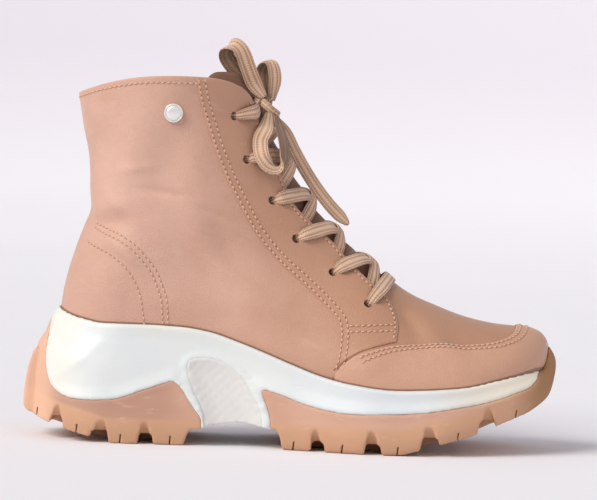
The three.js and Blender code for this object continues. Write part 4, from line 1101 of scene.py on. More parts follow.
arch_sunk, arch_shell, arch_grip = 0.0006, 0.003, 0.0008
foam_skin = foam_finish(
    "foam_skin", paint(226, 231, 227), paint(240, 237, 222), paint(221, 228, 230)
)
midsole = sole_block("midsole_foam", 0.0, foam_relief, [foam_skin])
arch_seat = pushed_through(grown(arch_shape, -arch_grip))
carved(arch_seat, [arch_inside(arch_shell + overlap)])
toe_end = side_shape([(0.9646, 0.6), (1.05, 0.6)], [(1.05, 1.15), (0.9646, 1.15)])
carved(midsole, [
    pushed_through(heel_shape), pushed_through(grown(fore_shape, -overlap)),
    pushed_through(arch_void), arch_seat, pushed_through(toe_end), upper_seat(0.0002, 0.0008),
])
moulded(midsole, 0.0009, 5)
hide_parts("midsole")
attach(midsole, "root")

arch_skin = foam_finish(
    "arch_skin", paint(224, 223, 217), paint(228, 226, 219), paint(219, 220, 217), 0.5
)
arch_piece = sole_block("arch_grip", arch_sunk, arch_relief, [arch_skin])
carved(arch_piece, [pushed_through(arch_shape)], "INTERSECT")
carved(arch_piece, [arch_inside(arch_shell), pushed_through(arch_void)])
moulded(arch_piece, 0.0006, 3)
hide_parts("arch_piece")
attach(arch_piece, "root")


# The insole: a soft sheet with rounded edges that lies on the midsole's floor, inside the upper.
# It is faced with the same woven cloth that lines the upper.
upper_wall, insole_thick, insole_room, floor_gap = 0.002, 0.0035, 0.0028, 0.0003
thread_scale = 420.0


def lining_finish(name, base, light):
    """Plain textile lining with a fine weave."""
    lining = Finish(name, {"Specular IOR Level": 0.2, "Sheen Weight": 0.2})
    threads = {"Vector": lining.place(), "Scale": thread_scale}
    weave = lining.node("TexWave", {"bands_direction": "Y"}, threads) * 0.4
    for way in ("X", "Z"):
        crossing = {**threads, "Distortion": 0.6}
        weave = weave + lining.node("TexWave", {"bands_direction": way}, crossing) * 0.3
    cloud = lining.noise(0.03)
    colour = lining.blend(weave * 0.5 + cloud * 0.4, base, light)
    return lining.lit(colour, 0.92 - weave * 0.06, weave, 0.0002)


lining_cloth = lining_finish("lining_cloth", paint(132, 106, 86), paint(178, 150, 126))


def insole_point(turn, level):
    """The insole's edge: a little inside the upper, just above the floor, with rounded ends."""
    x = np.interp(run_at(turn), [0, 1], [along_sole(0.0795), along_sole(0.962)])
    side = side_at(turn)
    height = floor_height(x) + floor_gap
    seam = np.abs(np.sin(turn))
    half = np.maximum(0, upper_half(x, height + 0.002, side) - insole_room)
    half = half * np.clip(seam / 0.1, 0, 1) ** 0.5 * (seam > 1e-9)
    return np.stack([x, middle(x) + side * half, height + insole_thick * level], axis=1)


insole = as_piece("insole_sheet", block(insole_point, 200, 4, 24), [lining_cloth])
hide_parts("insole")
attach(insole, "root")


# The upper: smooth blush leather over a thin lining, open at the collar and along the throat.
# Its folds are soft troughs and ridges where the ankle bends and where the panels pull.
def leather_finish(name, base, light, warm, front):
    """Smooth finished leather: fine pores and clouding, paler streaks of painted highlight, browner
    in front as painted shade, and a painted shadow line at the sole's rim.
    """
    leather = Finish(name, {
        "Specular IOR Level": 0.45, "Coat Weight": 0.06, "Coat Roughness": 0.4,
        "Sheen Weight": 0.08,
    })
    cloud, fleck = leather.noise(0.045, 4), leather.noise(0.009, 4)
    cells = {"Vector": leather.place(), "Scale": 900.0}
    pores = leather.node("TexVoronoi", {"feature": "DISTANCE_TO_EDGE"}, cells).between(0.0, 0.16)
    fine = leather.noise(0.0009, 2)
    colour = leather.blend(cloud.between(0.36, 0.64), base, light)
    colour = leather.blend(fleck.between(0.5, 0.8) * 0.3, colour, warm)
    run, rise = leather.axis(0), leather.axis(2)
    # Darker and browner towards the front and higher up: painted shade.
    ahead = run + rise * 0.42 + cloud * 0.02 - 0.01
    colour = leather.blend(ahead.between(-0.04, 0.09) * 0.8, colour, front)
    low_back = (0.135 - rise).between(0.0, 0.03) * (run * -1 - 0.03).between(0.0, 0.05)
    colour = leather.blend(low_back * 0.36, colour, paint(194, 150, 128))
    # Paler streaks: painted sheen highlights.
    painted_sheen_streaks = leather.noise(0.02, 5, (1, 1, 2.5)).between(0.64, 0.78)
    colour = leather.blend(painted_sheen_streaks * 0.18, colour, paint(232, 196, 176))
    # A thin dark line just above the sole's rim: painted shadow of the gap there, partly a dark
    # glue line.
    rim_shadow_and_glue = leather.node("Attribute", {"attribute_name": "sole_joint"}, {}, "Fac")
    colour = leather.blend(rim_shadow_and_glue.between(0.89, 0.96) * 0.72, colour, paint(118, 82, 62))
    roughness = 0.36 + cloud * 0.14 + fleck * 0.08
    return leather.lit(colour, roughness, pores * 0.5 + fine * 0.5 + cloud * 1.5, 0.00016)


# The last colour of each copy is the painted shade towards the front.
leather_skin = leather_finish(
    "leather_skin", paint(216, 171, 148), paint(224, 181, 160), paint(205, 157, 133),
    paint(177, 129, 96),
)
guard_skin = leather_finish(
    "guard_skin", paint(208, 160, 134), paint(218, 172, 150), paint(200, 150, 122),
    paint(206, 159, 129),
)
# The facings' copy is darker all over: painted shade over the throat.
facing_skin = leather_finish(
    "facing_skin", paint(202, 155, 127), paint(209, 163, 137), paint(193, 146, 119),
    paint(186, 138, 107),
)

# Middle in the side view, half-length, half-width, slope in degrees and height, in millimetres
outer_folds = [
    (-104, 112, 24, 5, 8, -1.1), (-98, 121, 26, 6, 4, 0.7), (-88, 101, 26, 6, -18, 0.6),
    (-70, 128, 34, 7, -52, -0.6), (-52, 118, 34, 6, -60, 0.5), (-36, 106, 26, 6, -48, -0.5),
    (-84, 148, 40, 10, 82, 0.8), (-62, 158, 34, 9, 78, -0.6), (-98, 160, 26, 8, 86, -0.5),
    (-20, 76, 34, 9, -34, 0.7), (0, 62, 30, 7, -26, -0.5), (62, 66, 20, 5, -58, -0.5),
    (76, 60, 24, 6, -38, 0.6), (92, 52, 26, 7, -12, -0.5), (40, 46, 20, 5, 18, 0.4),
    (-58, 74, 30, 8, -8, 0.5), (-96, 125, 11, 2.8, -48, 0.4), (-86, 96, 20, 3, -42, 0.45),
    (-70, 130, 26, 2.6, -6, -0.36), (-46, 121, 24, 2.8, -18, -0.34), (-84, 142, 18, 2.6, 10, 0.3),
    (84, 58, 18, 2.8, -22, -0.34), (58, 71, 14, 3, -42, -0.36), (34, 50, 16, 2.6, 14, 0.3),
    (-30, 88, 22, 3, -30, 0.34), (-12, 100, 16, 3, -40, -0.3),
]
inner_folds = [
    (-102, 114, 24, 5, 6, -1.0), (-92, 104, 24, 6, -14, 0.6), (-64, 126, 30, 7, -56, -0.7),
    (-44, 110, 30, 6, -52, 0.6), (-78, 150, 38, 10, 84, 0.7), (-8, 68, 30, 8, -30, -0.6),
    (66, 64, 22, 5, -52, -0.5), (84, 56, 24, 6, -24, 0.5), (20, 58, 24, 6, -14, 0.5),
]


def folds(x, z, side):
    """How far the upper stands out or in, in metres, from the folds of its side."""
    total = np.zeros(np.shape(x))
    for is_outer, rows in ((True, outer_folds), (False, inner_folds)):
        here = np.zeros(np.shape(x))
        for fold_x, fold_z, long, wide, slope, height in rows:
            c, s = math.cos(math.radians(slope)), math.sin(math.radians(slope))
            dx, dz = x * 1000 - fold_x, z * 1000 - fold_z
            along, across = (dx * c + dz * s) / long, (dz * c - dx * s) / wide
            here += height * np.clip(1 - along**2, 0, 1) ** 2 * np.exp(-(across**2))
        total += here * ((side < 0) == is_outer)
    return total * 0.0024


def fold_fade(turn):
    """Folds die out towards the back seam and the ridge, where both sides meet."""
    return np.clip(np.abs(np.sin(turn)) / 0.35, 0, 1) ** 2


def upper_skin(turn, t, offset):
    x, z = upper_patch(run_at(turn), np.clip(t, 0, 1)).T
    lift = folds(x, z, side_at(turn)) * fold_fade(turn)
    return upper_point(turn, t, offset + lift)


def on_side(x, z, side, offset=0.0):
    """A place on one side of the upper's skin, found from the side view, and its normal."""
    x, z, side, offset = (np.array(a, float) for a in np.broadcast_arrays(x, z, side, offset))
    step = 0.0005

    def y(a, b):
        return side * upper_half(a, b, side) + middle(a)

    normal = np.stack([
        (y(x - step, z) - y(x + step, z)) / (2 * step), np.ones(len(x)),
        (y(x, z - step) - y(x, z + step)) / (2 * step),
    ], axis=1)
    normal = unit(normal) * side[:, None]
    fade = np.clip(np.abs(normal[:, 1]) / 0.35, 0, 1) ** 2
    point = np.stack([x, y(x, z), z], axis=1)
    return point + normal * (offset + folds(x, z, side) * fade)[:, None], normal


outer_rows, rim_rows, inner_rows = 180, 8, 56
row_t = np.concatenate([
    np.linspace(0, 1, outer_rows), np.ones(rim_rows), np.linspace(1, 0, inner_rows), [0.0]
])
rim_turn = np.linspace(0, np.pi, rim_rows + 2)[1:-1]
row_offset = np.concatenate([
    np.zeros(outer_rows), -upper_wall * (1 - np.cos(rim_turn)) / 2,
    np.full(inner_rows, -upper_wall), [0.0],
])
row_lift = np.concatenate([
    np.zeros(outer_rows), 0.0007 * np.sin(rim_turn), np.zeros(inner_rows), [0.0]
])


def upper_wrap(u, v):
    row = np.round(v * (len(row_t) - 1)).astype(int)
    points = upper_skin(2 * np.pi * u, row_t[row], row_offset[row])
    points[:, 2] += row_lift[row]
    return points


upper = as_piece("upper_leather", laid_grid(340, len(row_t) - 1, upper_wrap, joined=True), [])


def boot_points(rows):
    """Side-view places from shares of the sole's length and the boot's height."""
    return [(along_sole(at), up * boot_height) for at, up in rows]


facing_front = [
    (0.667, 0.432), (0.6445, 0.4545), (0.604, 0.5065), (0.571, 0.559), (0.5355, 0.6035),
    (0.498, 0.656), (0.475, 0.7165), (0.4525, 0.793), (0.43, 0.857), (0.407, 0.93), (0.385, 1),
]
facing_edge = side_line(boot_points(facing_front))
throat = [tuple(place) for place in facing_edge(np.linspace(1, 0, 90)).tolist()]
throat += boot_points([(0.671, 0.497), (0.9, 0.7), (0.6, 1.3), (0.36, 1.08)])
eyelet_radius = 0.0023
eyelets = boot_points([
    (0.3765, 0.901), (0.403, 0.7825), (0.453, 0.6725), (0.5, 0.57), (0.5705, 0.4815), (0.638, 0.4),
])


def eyelet_punches(sides=(-1, 1)):
    """Round punches through the leather at the eyelets, square to it."""
    bm = bmesh.new()
    for side in sides:
        spots, normals = on_side(*np.array(eyelets).T, side)
        for spot, normal in zip(spots.tolist(), normals.tolist()):
            turned = Vector(normal).to_track_quat("Z", "Y").to_matrix().to_4x4()
            turned.translation = spot
            bmesh.ops.create_cone(
                bm, cap_ends=True, segments=24, radius1=eyelet_radius, radius2=eyelet_radius,
                depth=0.014, matrix=turned,
            )
    return as_piece("former", bm)


carved(upper, [pushed_through(throat), eyelet_punches()])
rim_stop, joint_reach = along_sole(0.957), 0.01


def mark_joint(mesh):
    """Stores how near each point is to the sole's rim: 1 at the rim, 0 from 10 mm above it."""
    spots = np.array([v.co for v in mesh.vertices])
    rim = sole_top(np.minimum(spots[:, 0], rim_stop))
    nearness = np.clip(1 - (spots[:, 2] - rim) / joint_reach, 0, 2)
    mesh.attributes.new("sole_joint", "FLOAT", "POINT").data.foreach_set("value", nearness)


def lined(piece):
    """The upper's inner faces are lining, its outer ones and its edges leather."""
    mesh = piece.data
    mesh.materials.clear()
    for material in (leather_skin, lining_cloth):
        mesh.materials.append(material)
    centres = np.empty(len(mesh.polygons) * 3)
    mesh.polygons.foreach_get("center", centres)
    normals = np.empty(len(mesh.polygons) * 3)
    mesh.polygons.foreach_get("normal", normals)
    centres, normals = centres.reshape(-1, 3), normals.reshape(-1, 3)
    back, front = back_at(centres[:, 2]), ridge_at(centres[:, 2])
    spine = np.stack([(back + front) / 2, middle(centres[:, 0]), centres[:, 2]], axis=1)
    spine[:, 0] = np.where(centres[:, 2] < 0.1, centres[:, 0] * 0.9, spine[:, 0])
    spine[:, 2] = np.where(centres[:, 2] < 0.1, floor_height(centres[:, 0]), spine[:, 2])
    inner = ((centres - spine) * normals).sum(1) < 0
    mark_joint(mesh)
    mesh.polygons.foreach_set("material_index", inner.astype(int))
    smooth_faces(mesh)


lined(upper)
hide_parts("upper")
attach(upper, "root")


# The toe guard: a low band of the same leather round the toe and the front sides.
# It is sewn to the upper with two rows near its top edge and goes down inside the sole's rim.
guard_thick, glue_gap = 0.0009, 0.0001
guard_columns, column_steps = 300, 600
guard_height = through(
    (0.5755, 0.62), (0.597, 0.738), (0.623, 0.814), (0.649, 0.86), (0.675, 0.894), (0.701, 0.91),
    (0.753, 0.925), (0.806, 0.928), (0.858, 0.936), (0.893, 0.969), (0.914, 1.02), (0.926, 1.12),
)
guard_start = 1.69
guard_turns = np.linspace(guard_start, 2 * np.pi - guard_start, guard_columns + 1)
column_t = np.linspace(0, 0.6, column_steps + 1)


def first_over(height):
    """For each turn round the toe, where the upper first rises over a height along the foot."""
    found = []
    for turn in guard_turns:
        x, z = upper_patch(np.full(column_steps + 1, run_at(turn)), column_t).T
        over_it = z - height(x)
        k = int(np.argmax(over_it > 0))
        part = over_it[k - 1] / (over_it[k - 1] - over_it[k]) if k else 0
        found.append(column_t[max(k - 1, 0)] + part * column_t[1])
    return np.array(found)


guard_high = first_over(lambda x: guard_height(share_at(x)) * sole_height)
guard_low = first_over(lambda x: sole_top(np.minimum(x, rim_stop)) - 0.003)
guard_high = np.maximum(guard_high, guard_low + 0.004)
high_line = upper_place(guard_turns, guard_high)
guard_deep = np.linalg.norm(high_line - upper_place(guard_turns, guard_low), axis=1)


def edge_spaced(k):
    """Shares from 0 to 1 that lie closer together towards both ends."""
    return (1 - np.cos(np.pi * k)) / 2


def panel_ring(u):
    """Once round a sewn-on panel: across underneath from 0 to 1, then back over the top."""
    under = 0.28
    is_under = u <= under
    return np.where(is_under, u / under, 1 - edge_spaced((u - under) / (1 - under))), is_under


def panel_offset(is_under, thick, edge, ends):
    """How far a sewn-on panel's faces are from the upper, less towards its edges and ends."""
    return np.where(is_under, glue_gap, glue_gap + thick * edge * np.maximum(ends, 0.25))


def guard_wrap(u, v):
    across, is_under = panel_ring(u)
    column = np.round(v * guard_columns).astype(int)
    low, high, deep = guard_low[column], guard_high[column], guard_deep[column]
    edge = rounded((1 - across) * deep, 0.0009)
    ends = rounded(np.minimum(v, 1 - v) * 0.24, 0.002)
    offset = panel_offset(is_under, guard_thick, edge, ends)
    return upper_skin(guard_turns[column], low + (high - low) * across, offset)


guard_mesh = laid_grid(72, guard_columns, guard_wrap, joined=True, ends=True)
toe_guard = as_piece("toe_guard_leather", guard_mesh, [guard_skin])
mark_joint(toe_guard.data)
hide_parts("toe_guard")
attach(toe_guard, "root")


# The two facings: panels of the same leather from the collar down to the toe guard.
# They are sewn on over the vamp and quarters, and punched with six eyelets each.
facing_thick = 0.0006
collar_samples = collar_line(np.linspace(0, 1, 400))


def collar_height(x):
    return np.interp(x, collar_samples[:, 0], collar_samples[:, 1])


seam_top, edge_top = along_sole(0.306), along_sole(0.407)
facing_back = side_line([(seam_top, float(collar_height(seam_top)))] + boot_points([
    (0.315, 0.937), (0.327, 0.883), (0.341, 0.822), (0.356, 0.768), (0.37, 0.723),
    (0.387, 0.677), (0.404, 0.632), (0.4235, 0.586), (0.4505, 0.537), (0.478, 0.496),
    (0.505, 0.463), (0.532, 0.429), (0.559, 0.392), (0.581, 0.359), (0.588, 0.331),
    (0.588, 0.285), (0.584, 0.246), (0.5775, 0.219),
]))
facing_side = side_line(
    [(edge_top, float(collar_height(edge_top)))] + boot_points(facing_front[8::-1])
    + boot_points([(0.681, 0.405), (0.6915, 0.373), (0.6955, 0.34), (0.6925, 0.3011)])
)
facing_foot = side_line([
    tuple(facing_back(1.0)),
    *sole_points([(0.5975, 0.757), (0.623, 0.833), (0.649, 0.879), (0.675, 0.913)]),
    tuple(facing_side(1.0)),
])


def facing_top(share):
    x = seam_top + (edge_top - seam_top) * np.asarray(share, float)
    return np.stack([x, collar_height(x)], axis=-1)


facing_patch = patch(facing_top, facing_foot, facing_back, facing_side)


def facing_wrap(side):
    """Lays a facing on one side of the upper."""

    def place(u, v):
        across, is_under = panel_ring(u)
        x, z = facing_patch(across, v).T
        left, right = facing_back(v), facing_side(v)
        wide = np.linalg.norm(right - left, axis=1)
        edge = rounded(np.minimum(across, 1 - across) * wide, 0.0008)
        ends = rounded(np.minimum(v * 0.17, (1 - v) * 0.17), 0.0008)
        offset = panel_offset(is_under, facing_thick, edge, ends)
        return on_side(x, z, side, offset)[0]

    return place


for name, node, side in (
    ("facing_outer_leather", "facing_outer", -1), ("facing_inner_leather", "facing_inner", 1),
):
    facing_mesh = laid_grid(96, 200, facing_wrap(side), joined=True, ends=True)
    facing = as_piece(name, facing_mesh, [facing_skin])
    carved(facing, [eyelet_punches((side,))])
    smooth_faces(facing.data)
    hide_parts(node)
    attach(facing, "root")


# The tongue: a thin padded strip of leather, sewn in under the vamp, painted dark brown for the
# shade it lies in.
# It lies behind the lace and rises a little above the collar.
tongue_thick, tongue_half, tongue_rise, lace_room = 0.0022, 0.027, 0.0045, 0.0026
tongue_top, tongue_rows, rise_rows, aside_most = 0.985, 60, 14, 6.5


def ridge_place(level, aside):
    """A place by its share of the ridge and, in root millimetres, how far beside it it is."""
    spot = upper_ridge(level)
    ahead, behind = upper_ridge(np.minimum(1, level + 0.01)), upper_ridge(level - 0.01)
    inward = unit(np.stack([behind[:, 1] - ahead[:, 1], ahead[:, 0] - behind[:, 0]], axis=1))
    x, z = (spot + inward * (aside**2 * 0.001)[:, None]).T
    side = np.where(aside < 0, -1, 1)
    return np.stack([x, middle(x) + side * upper_half(x, z, side), z], axis=1), inward


def beside_ridge(level, aside, offset):
    """A place over or under the upper's skin beside the ridge, and its normal."""
    place, inward = ridge_place(level, aside)
    up = ridge_place(np.minimum(level + 0.004, 1), aside)[0] - ridge_place(level - 0.004, aside)[0]
    over_ridge = ridge_place(level, aside + 0.05)[0] - ridge_place(level, aside - 0.05)[0]
    normal = unit(np.cross(up, over_ridge))
    outward = np.stack([-inward[:, 0], np.sign(aside), -inward[:, 1]], axis=1)
    normal *= np.where((normal * outward).sum(1) < 0, -1, 1)[:, None]
    return place + normal * np.reshape(offset, (-1, 1)), normal


ridge_fine = upper_ridge(np.linspace(0, 1, 401))
tongue_start = next(i for i in range(41, 401) if ridge_fine[i, 0] < along_sole(0.705)) / 400
tongue_wide = through((0, 0.7), (0.07, 0.77), (0.26, 0.84), (0.57, 0.92), (1, 1))
ridge_end = upper_ridge(1.0) - upper_ridge(0.9)
lean = unit(np.array([ridge_end[0], 0, ridge_end[1]]))
aside_steps = np.linspace(0.2, aside_most, 127)


def reach_for(level, half):
    """How far aside of the ridge the upper has a half-breadth."""
    places = ridge_place(np.full(len(aside_steps), level), -aside_steps)[0]
    wide_enough = np.abs(places[:, 1] - middle(places[:, 0])) > half
    return aside_steps[int(np.argmax(wide_enough))] if wide_enough.any() else aside_most


tongue_levels = np.linspace(tongue_start, tongue_top, tongue_rows + 1)


def up_tongue(level):
    return (level - tongue_start) / (tongue_top - tongue_start)


tongue_reach = np.array([
    reach_for(level, tongue_wide(up_tongue(level)) * tongue_half) for level in tongue_levels
])


def tongue_wrap(u, v):
    """Across the face and back behind it, then on past the collar with rounded corners."""
    k = np.where(u <= 0.5, 1 - 4 * u, 4 * u - 3)
    face = np.where(u <= 0.5, 1, -1)
    edge = rounded(1 - np.abs(k), 0.08)
    row = np.round(v * (tongue_rows + rise_rows)).astype(int)
    low = np.minimum(row, tongue_rows)
    level = tongue_levels[low]
    drop = soft_step(0, 0.07, up_tongue(level))
    middle_depth = upper_wall + 0.0003 + drop * lace_room + tongue_thick / 2
    end = rounded((tongue_rows + rise_rows - row) * 0.0008, 0.0012)
    half_thick = tongue_thick / 2 * edge * np.clip(end, 0.1, 1)
    quilt = 0.00035 * np.cos(level * 70) * (1 - np.abs(k))
    crown = 0.0034 * drop * np.clip(1 - (k / 0.62) ** 2, 0, 1) ** 1.5
    offset = crown - middle_depth + face * half_thick + quilt
    over = np.clip(row - tongue_rows, 0, rise_rows) / rise_rows
    points, _ = beside_ridge(level, k * (1 - 0.05 * over) * tongue_reach[low], offset)
    corner = np.clip((np.abs(k) - 0.6) / 0.4, 0, 1)
    tip = boot_height + tongue_rise - 0.0015 * k**2 - 0.015 * (1 - np.sqrt(1 - corner**2))
    points = points + lean * (over * (tip - points[:, 2]) / lean[2])[:, None]
    points[:, 0] += over * 0.003 * np.clip(1 - k**2, 0, 1)
    return points


# The tongue's dark brown is painted shade: it lies back in the throat, behind the lace.
tongue_skin = leather_finish(
    "tongue_skin", paint(132, 94, 70), paint(144, 106, 82), paint(120, 82, 60), paint(124, 86, 62)
)
tongue_mesh = laid_grid(80, tongue_rows + rise_rows, tongue_wrap, joined=True, ends=True)
tongue = as_piece("tongue_leather", tongue_mesh, [tongue_skin])
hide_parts("tongue")
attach(tongue, "root")


# The lace through the eyelets: it comes up through an eyelet, spreads over the facing's edge,
# crosses the throat and goes in under the other facing to the next eyelet down.
def spot_of(x, z):
    """The nearest place on the ridge and the distance from it, as ridge_place reads them."""
    far = np.hypot(ridge_fine[:, 0] - x, ridge_fine[:, 1] - z)
    nearest = 120 + int(np.argmin(far[120:]))
    return nearest / 400, math.sqrt(far[nearest] * 1000)


eyelet_spots = [spot_of(x, z) for x, z in eyelets]
edge_samples = facing_edge(np.linspace(0, 1, 400))
lace_over, lace_under = 0.0024, -0.0036


def strand(start, end, side, stages):
    """Lace to an eyelet on the other side; stages give its share of the way, height and width."""
    (level_a, aside_a), (level_b, aside_b) = start, end
    climb, swing = level_b - level_a, aside_a + aside_b
    shares, step = np.linspace(0, 1, 201), 0.01
    places = ridge_place(level_a + climb * shares, side * (aside_a - swing * shares))[0]
    in_throat = places[:, 0] > np.interp(places[:, 2], edge_samples[:, 1], edge_samples[:, 0])
    near, far = shares[in_throat][0], shares[in_throat][-1]
    rows = []
    for way, offset, width in stages(near, far):
        level = np.array([level_a + climb * way])
        aside = np.array([side * (aside_a - swing * way)])
        point, normal = beside_ridge(level, aside, offset)
        ahead = ridge_place(level + climb * step, aside - side * swing * step)[0]
        along = ahead - ridge_place(level, aside)[0]
        rows.append([*point[0], *unit(np.cross(normal, along))[0], width])
    return lace_strip(rows)[0]


out_of_eyelet = [(0.012, -0.0052, 0.0038), (0.026, -0.001, 0.0044), (0.045, 0.0013, 0.0057)]


def over_and_under(lift):
    """Out of an eyelet, over the near edge, across, and in under the far edge."""
    return lambda near, far: [
        *out_of_eyelet,
        (near * 0.32, lace_over - 0.0002, 0.0066), (near * 0.7, lace_over - 0.0002, 0.0078),
        (near, lace_over - 0.0004, 0.0076), (near + (far - near) * 0.22, 0.0016, 0.0074),
        (0.5 * (near + far), 0.0006 + lift, 0.007),
        (near + (far - near) * 0.8, -0.0022 + lift, 0.007),
        (far, lace_under, 0.0068), (far + (1 - far) * 0.55, lace_under - 0.0006, 0.006),
        (0.985, lace_under - 0.001, 0.0046),
    ]


def all_under(lift):
    """From eyelet to eyelet under both facings."""
    return lambda near, far: [
        (0.0, lace_under - 0.0008, 0.005), (near * 0.5, lace_under - 0.0004, 0.0064),
        (near, lace_under, 0.0068), (0.5 * (near + far), 0.0002 + lift, 0.007),
        (far, lace_under, 0.0068), (far + (1 - far) * 0.5, lace_under - 0.0004, 0.0064),
        (1.0, lace_under - 0.0008, 0.005),
    ]


def all_over(near, far):
    """Out of one eyelet and into the other, over both edges."""
    return [
        *out_of_eyelet,
        (near * 0.45, lace_over, 0.0064), (near, lace_over - 0.0004, 0.0076),
        (0.5, 0.0012, 0.007),
        (far, lace_over - 0.0004, 0.0076), (1 - near * 0.45, lace_over, 0.0064),
        (0.955, 0.0013, 0.0048), (0.974, -0.001, 0.004), (0.988, -0.0052, 0.0038),
    ]


def lace_piece(name, node, meshes):
    whole = bmesh.new()
    whole.loops.layers.uv.new("laid")
    add_parts(whole, meshes)
    piece = as_piece(name, whole, [lace_weave])
    stretch_uv(piece, 1, 0.07)
    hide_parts(node)
    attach(piece, "root")


last_spot = eyelet_spots[-1]
lace_piece("lace_bar_woven", "lace_bar", [strand(last_spot, last_spot, -1, all_over)])
for row in range(len(eyelets) - 1):
    number = len(eyelets) - 1 - row
    way = all_under if row == 0 else over_and_under
    high, low = eyelet_spots[row], eyelet_spots[row + 1]
    lace_piece(
        f"lace_crossing_{number}_woven", f"lace_crossing_{number}",
        [strand(high, low, side, way(0.0009 * side)) for side in (-1, 1)],
    )
top_x, top_z = eyelets[0]


def top_rows(side):
    """From the top eyelet of one side up to the knot."""
    rows = []
    for share, offset, width in (
        (0.04, -0.005, 0.0038), (0.08, -0.001, 0.004), (0.12, 0.0014, 0.0048),
        (0.32, lace_over + 0.0004, 0.0062), (0.55, lace_over + 0.0008, 0.0074),
    ):
        x = top_x + (knot_at[0] - top_x) * share
        z = top_z + (knot_at[2] - top_z) * share
        rows.append([*on_side([x], [z], side, offset)[0][0], -0.25, 0, 1, width])
    rows.append([knot_at[0] - 0.0036, side * 0.0078, knot_at[2] - 0.0006, -0.25, 0, 1, 0.006])
    return rows


behind_knot = [[knot_at[0] - 0.0042, 0, knot_at[2] - 0.0004, -0.25, 0, 1, 0.0055]]
top_strip, _, _ = lace_strip(top_rows(-1) + behind_knot + top_rows(1)[::-1])
lace_piece("lace_top_woven", "lace_top", [top_strip])


# The stud near the collar on the outer side: a pressed cap of bright metal, riveted through.
# Its domed middle lies in a fine rim behind a narrow groove.
def metal_finish():
    metal = Finish("stud_metal", {"Metallic": 0.5, "Coat Weight": 0.5, "Coat Roughness": 0.1})
    cloud, fine = metal.noise(0.004), metal.noise(0.0006, 2)
    colour = metal.blend(cloud, paint(254, 253, 248), paint(242, 241, 236))
    return metal.lit(colour, 0.24 + cloud * 0.1, fine, 0.00002)


stud_profile = [
    (0.0, 0.0022), (0.0014, 0.00216), (0.0026, 0.002), (0.0034, 0.00165), (0.0037, 0.0013),
    (0.0038, 0.0009), (0.00395, 0.0008), (0.0041, 0.0012), (0.0044, 0.00145), (0.0047, 0.0013),
    (0.0049, 0.0009), (0.0049, 0.0), (0.0, 0.0),
]
stud_mesh = spun(stud_profile, 48, 1e-6)
spot, normal = on_side([along_sole(0.267)], [0.903 * boot_height], -1, 0.0002)
stud_turn = Vector(normal[0]).to_track_quat("Z", "Y").to_matrix().to_4x4()
stud_turn.translation = spot[0]
bmesh.ops.transform(stud_mesh, matrix=stud_turn, verts=stud_mesh.verts)
stud = as_piece("stud_cap", stud_mesh, [metal_finish()])
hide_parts("stud")
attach(stud, "root")


# The stitches: pale thread, machine-sewn in rows beside the edges of the panels and the collar.
# Each stitch lies between two pricked holes, drawn as small dark discs of painted shade, and stands
# a little over the leather.
stitch_pitch, stitch_long = 0.0029, 0.0023
seam_rows = []


def sew(points, normals):
    """Spaces stitches evenly along a row of places."""
    line, length = smooth_line(np.hstack([points, normals]), stitch_pitch)
    seam_rows.append((line[:, :3], unit(line[:, 3:6])))


def sew_side(line, start=0.0, end=1.0, shift=0.0, above=0.0):
    """A row along a side-view line on both sides, shifted sideways in the side view."""
    shares = np.linspace(start, end, 60)
    places = line(shares)
    tangent = unit(np.gradient(places, axis=0))
    places = places + np.stack([tangent[:, 1], -tangent[:, 0]], axis=1) * shift
    for side in (-1, 1):
        sew(*on_side(places[:, 0], places[:, 1], side, above))


on_panel = 0.0002 + facing_thick
for shift in (-0.001, -0.0041):
    sew_side(facing_back, 0.012, 0.985, shift, on_panel)
sew_side(facing_side, 0.02, 0.985, 0.0018, on_panel)
foot_row = side_line([(0.0302, 0.0645), (0.0412, 0.0651), (0.0512, 0.0656)])
for shift in (0.0, 0.003):
    sew_side(foot_row, 0, 1, shift, on_panel)
counter_inner = side_line([
    (-0.1085, 0.1025), (-0.1033, 0.1001), (-0.0959, 0.0967), (-0.0883, 0.091), (-0.0829, 0.0839),
    (-0.0797, 0.0767), (-0.0779, 0.0679), (-0.077, 0.0615),
])
counter_outer = side_line([
    (-0.1065, 0.1118), (-0.1, 0.109), (-0.0911, 0.1056), (-0.0835, 0.1008), (-0.0774, 0.0944),
    (-0.0728, 0.0887), (-0.0696, 0.0814), (-0.0671, 0.0742), (-0.066, 0.0625),
])
sew_side(counter_inner)
for shift in (0.0014, -0.0014):
    sew_side(counter_outer, 0, 1, shift)
collar_turns = np.linspace(0.12, 2.52, 120)
t_row = np.full(len(collar_turns), 0.985)
for turns in (collar_turns, 2 * np.pi - collar_turns):
    places = upper_skin(turns, t_row, 0.0)
    sew(places, unit(upper_skin(turns, t_row, 0.001) - places))
keep = slice(14, -14)
turns = guard_turns[keep]
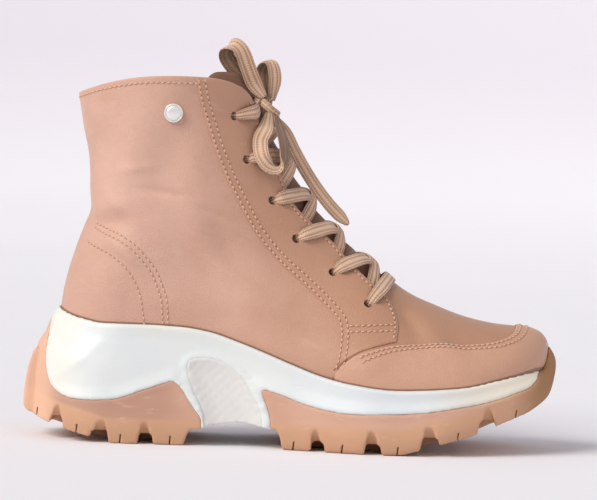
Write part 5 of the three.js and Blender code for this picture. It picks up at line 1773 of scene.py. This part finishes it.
for down in (0.0019, 0.0046):
    share_down = down / np.maximum(guard_deep, 1e-6)
    t_row = (guard_high - (guard_high - guard_low) * share_down)[keep]
    places = upper_skin(turns, t_row, 0.0002 + guard_thick)
    sew(places, unit(upper_skin(turns, t_row, 0.003) - places))


def along_rows(name, size, between, sink, finish):
    """One small form, repeated along every row: on the stitches, or in the holes between them."""
    bm = bmesh.new()
    bmesh.ops.create_icosphere(bm, subdivisions=1, radius=1)
    bmesh.ops.scale(bm, vec=size, verts=bm.verts)
    one = bpy.data.meshes.new(name)
    bm.to_mesh(one)
    bm.free()
    shape = np.array([v.co for v in one.vertices])
    faces = np.array([p.vertices for p in one.polygons])
    bpy.data.meshes.remove(one)
    frames = []
    for points, normals in seam_rows:
        if between:
            points, normals = (points[1:] + points[:-1]) / 2, unit(normals[1:] + normals[:-1])
        along = unit(np.gradient(points, axis=0))
        across = unit(np.cross(normals, along))
        frames.append((points - normals * sink, along, across, unit(np.cross(along, across))))
    centre, along, across, up = (np.vstack(parts) for parts in zip(*frames))
    verts = centre[:, None]
    for k, direction in enumerate((along, across, up)):
        verts = verts + shape[None, :, k:k + 1] * direction[:, None]
    order = (faces[None] + (np.arange(len(centre)) * len(shape))[:, None, None]).reshape(-1, 3)
    mesh = bpy.data.meshes.new(name)
    mesh.from_pydata(verts.reshape(-1, 3).tolist(), [], order.tolist())
    piece = as_object(name, mesh, [finish])
    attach(piece, "root")


def thread_finish(name, light, dark, roughness):
    thread = Finish(name, {"Specular IOR Level": 0.3})
    cloud, fine = thread.noise(0.01), thread.noise(0.0004, 2)
    return thread.lit(thread.blend(cloud, light, dark), roughness + cloud * 0.1, fine, 0.0001)


along_rows(
    "stitches", (stitch_long / 2, 0.00055, 0.00042), False, -0.0001,
    thread_finish("thread", paint(226, 188, 163), paint(208, 167, 142), 0.7),
)
# Dark discs in the holes between the stitches: painted shade.
along_rows(
    "stitch_hole_shade", (0.00034, 0.00036, 0.00014), True, 0.00004,
    thread_finish("hole_shade", paint(138, 98, 78), paint(156, 114, 92), 0.8),
)
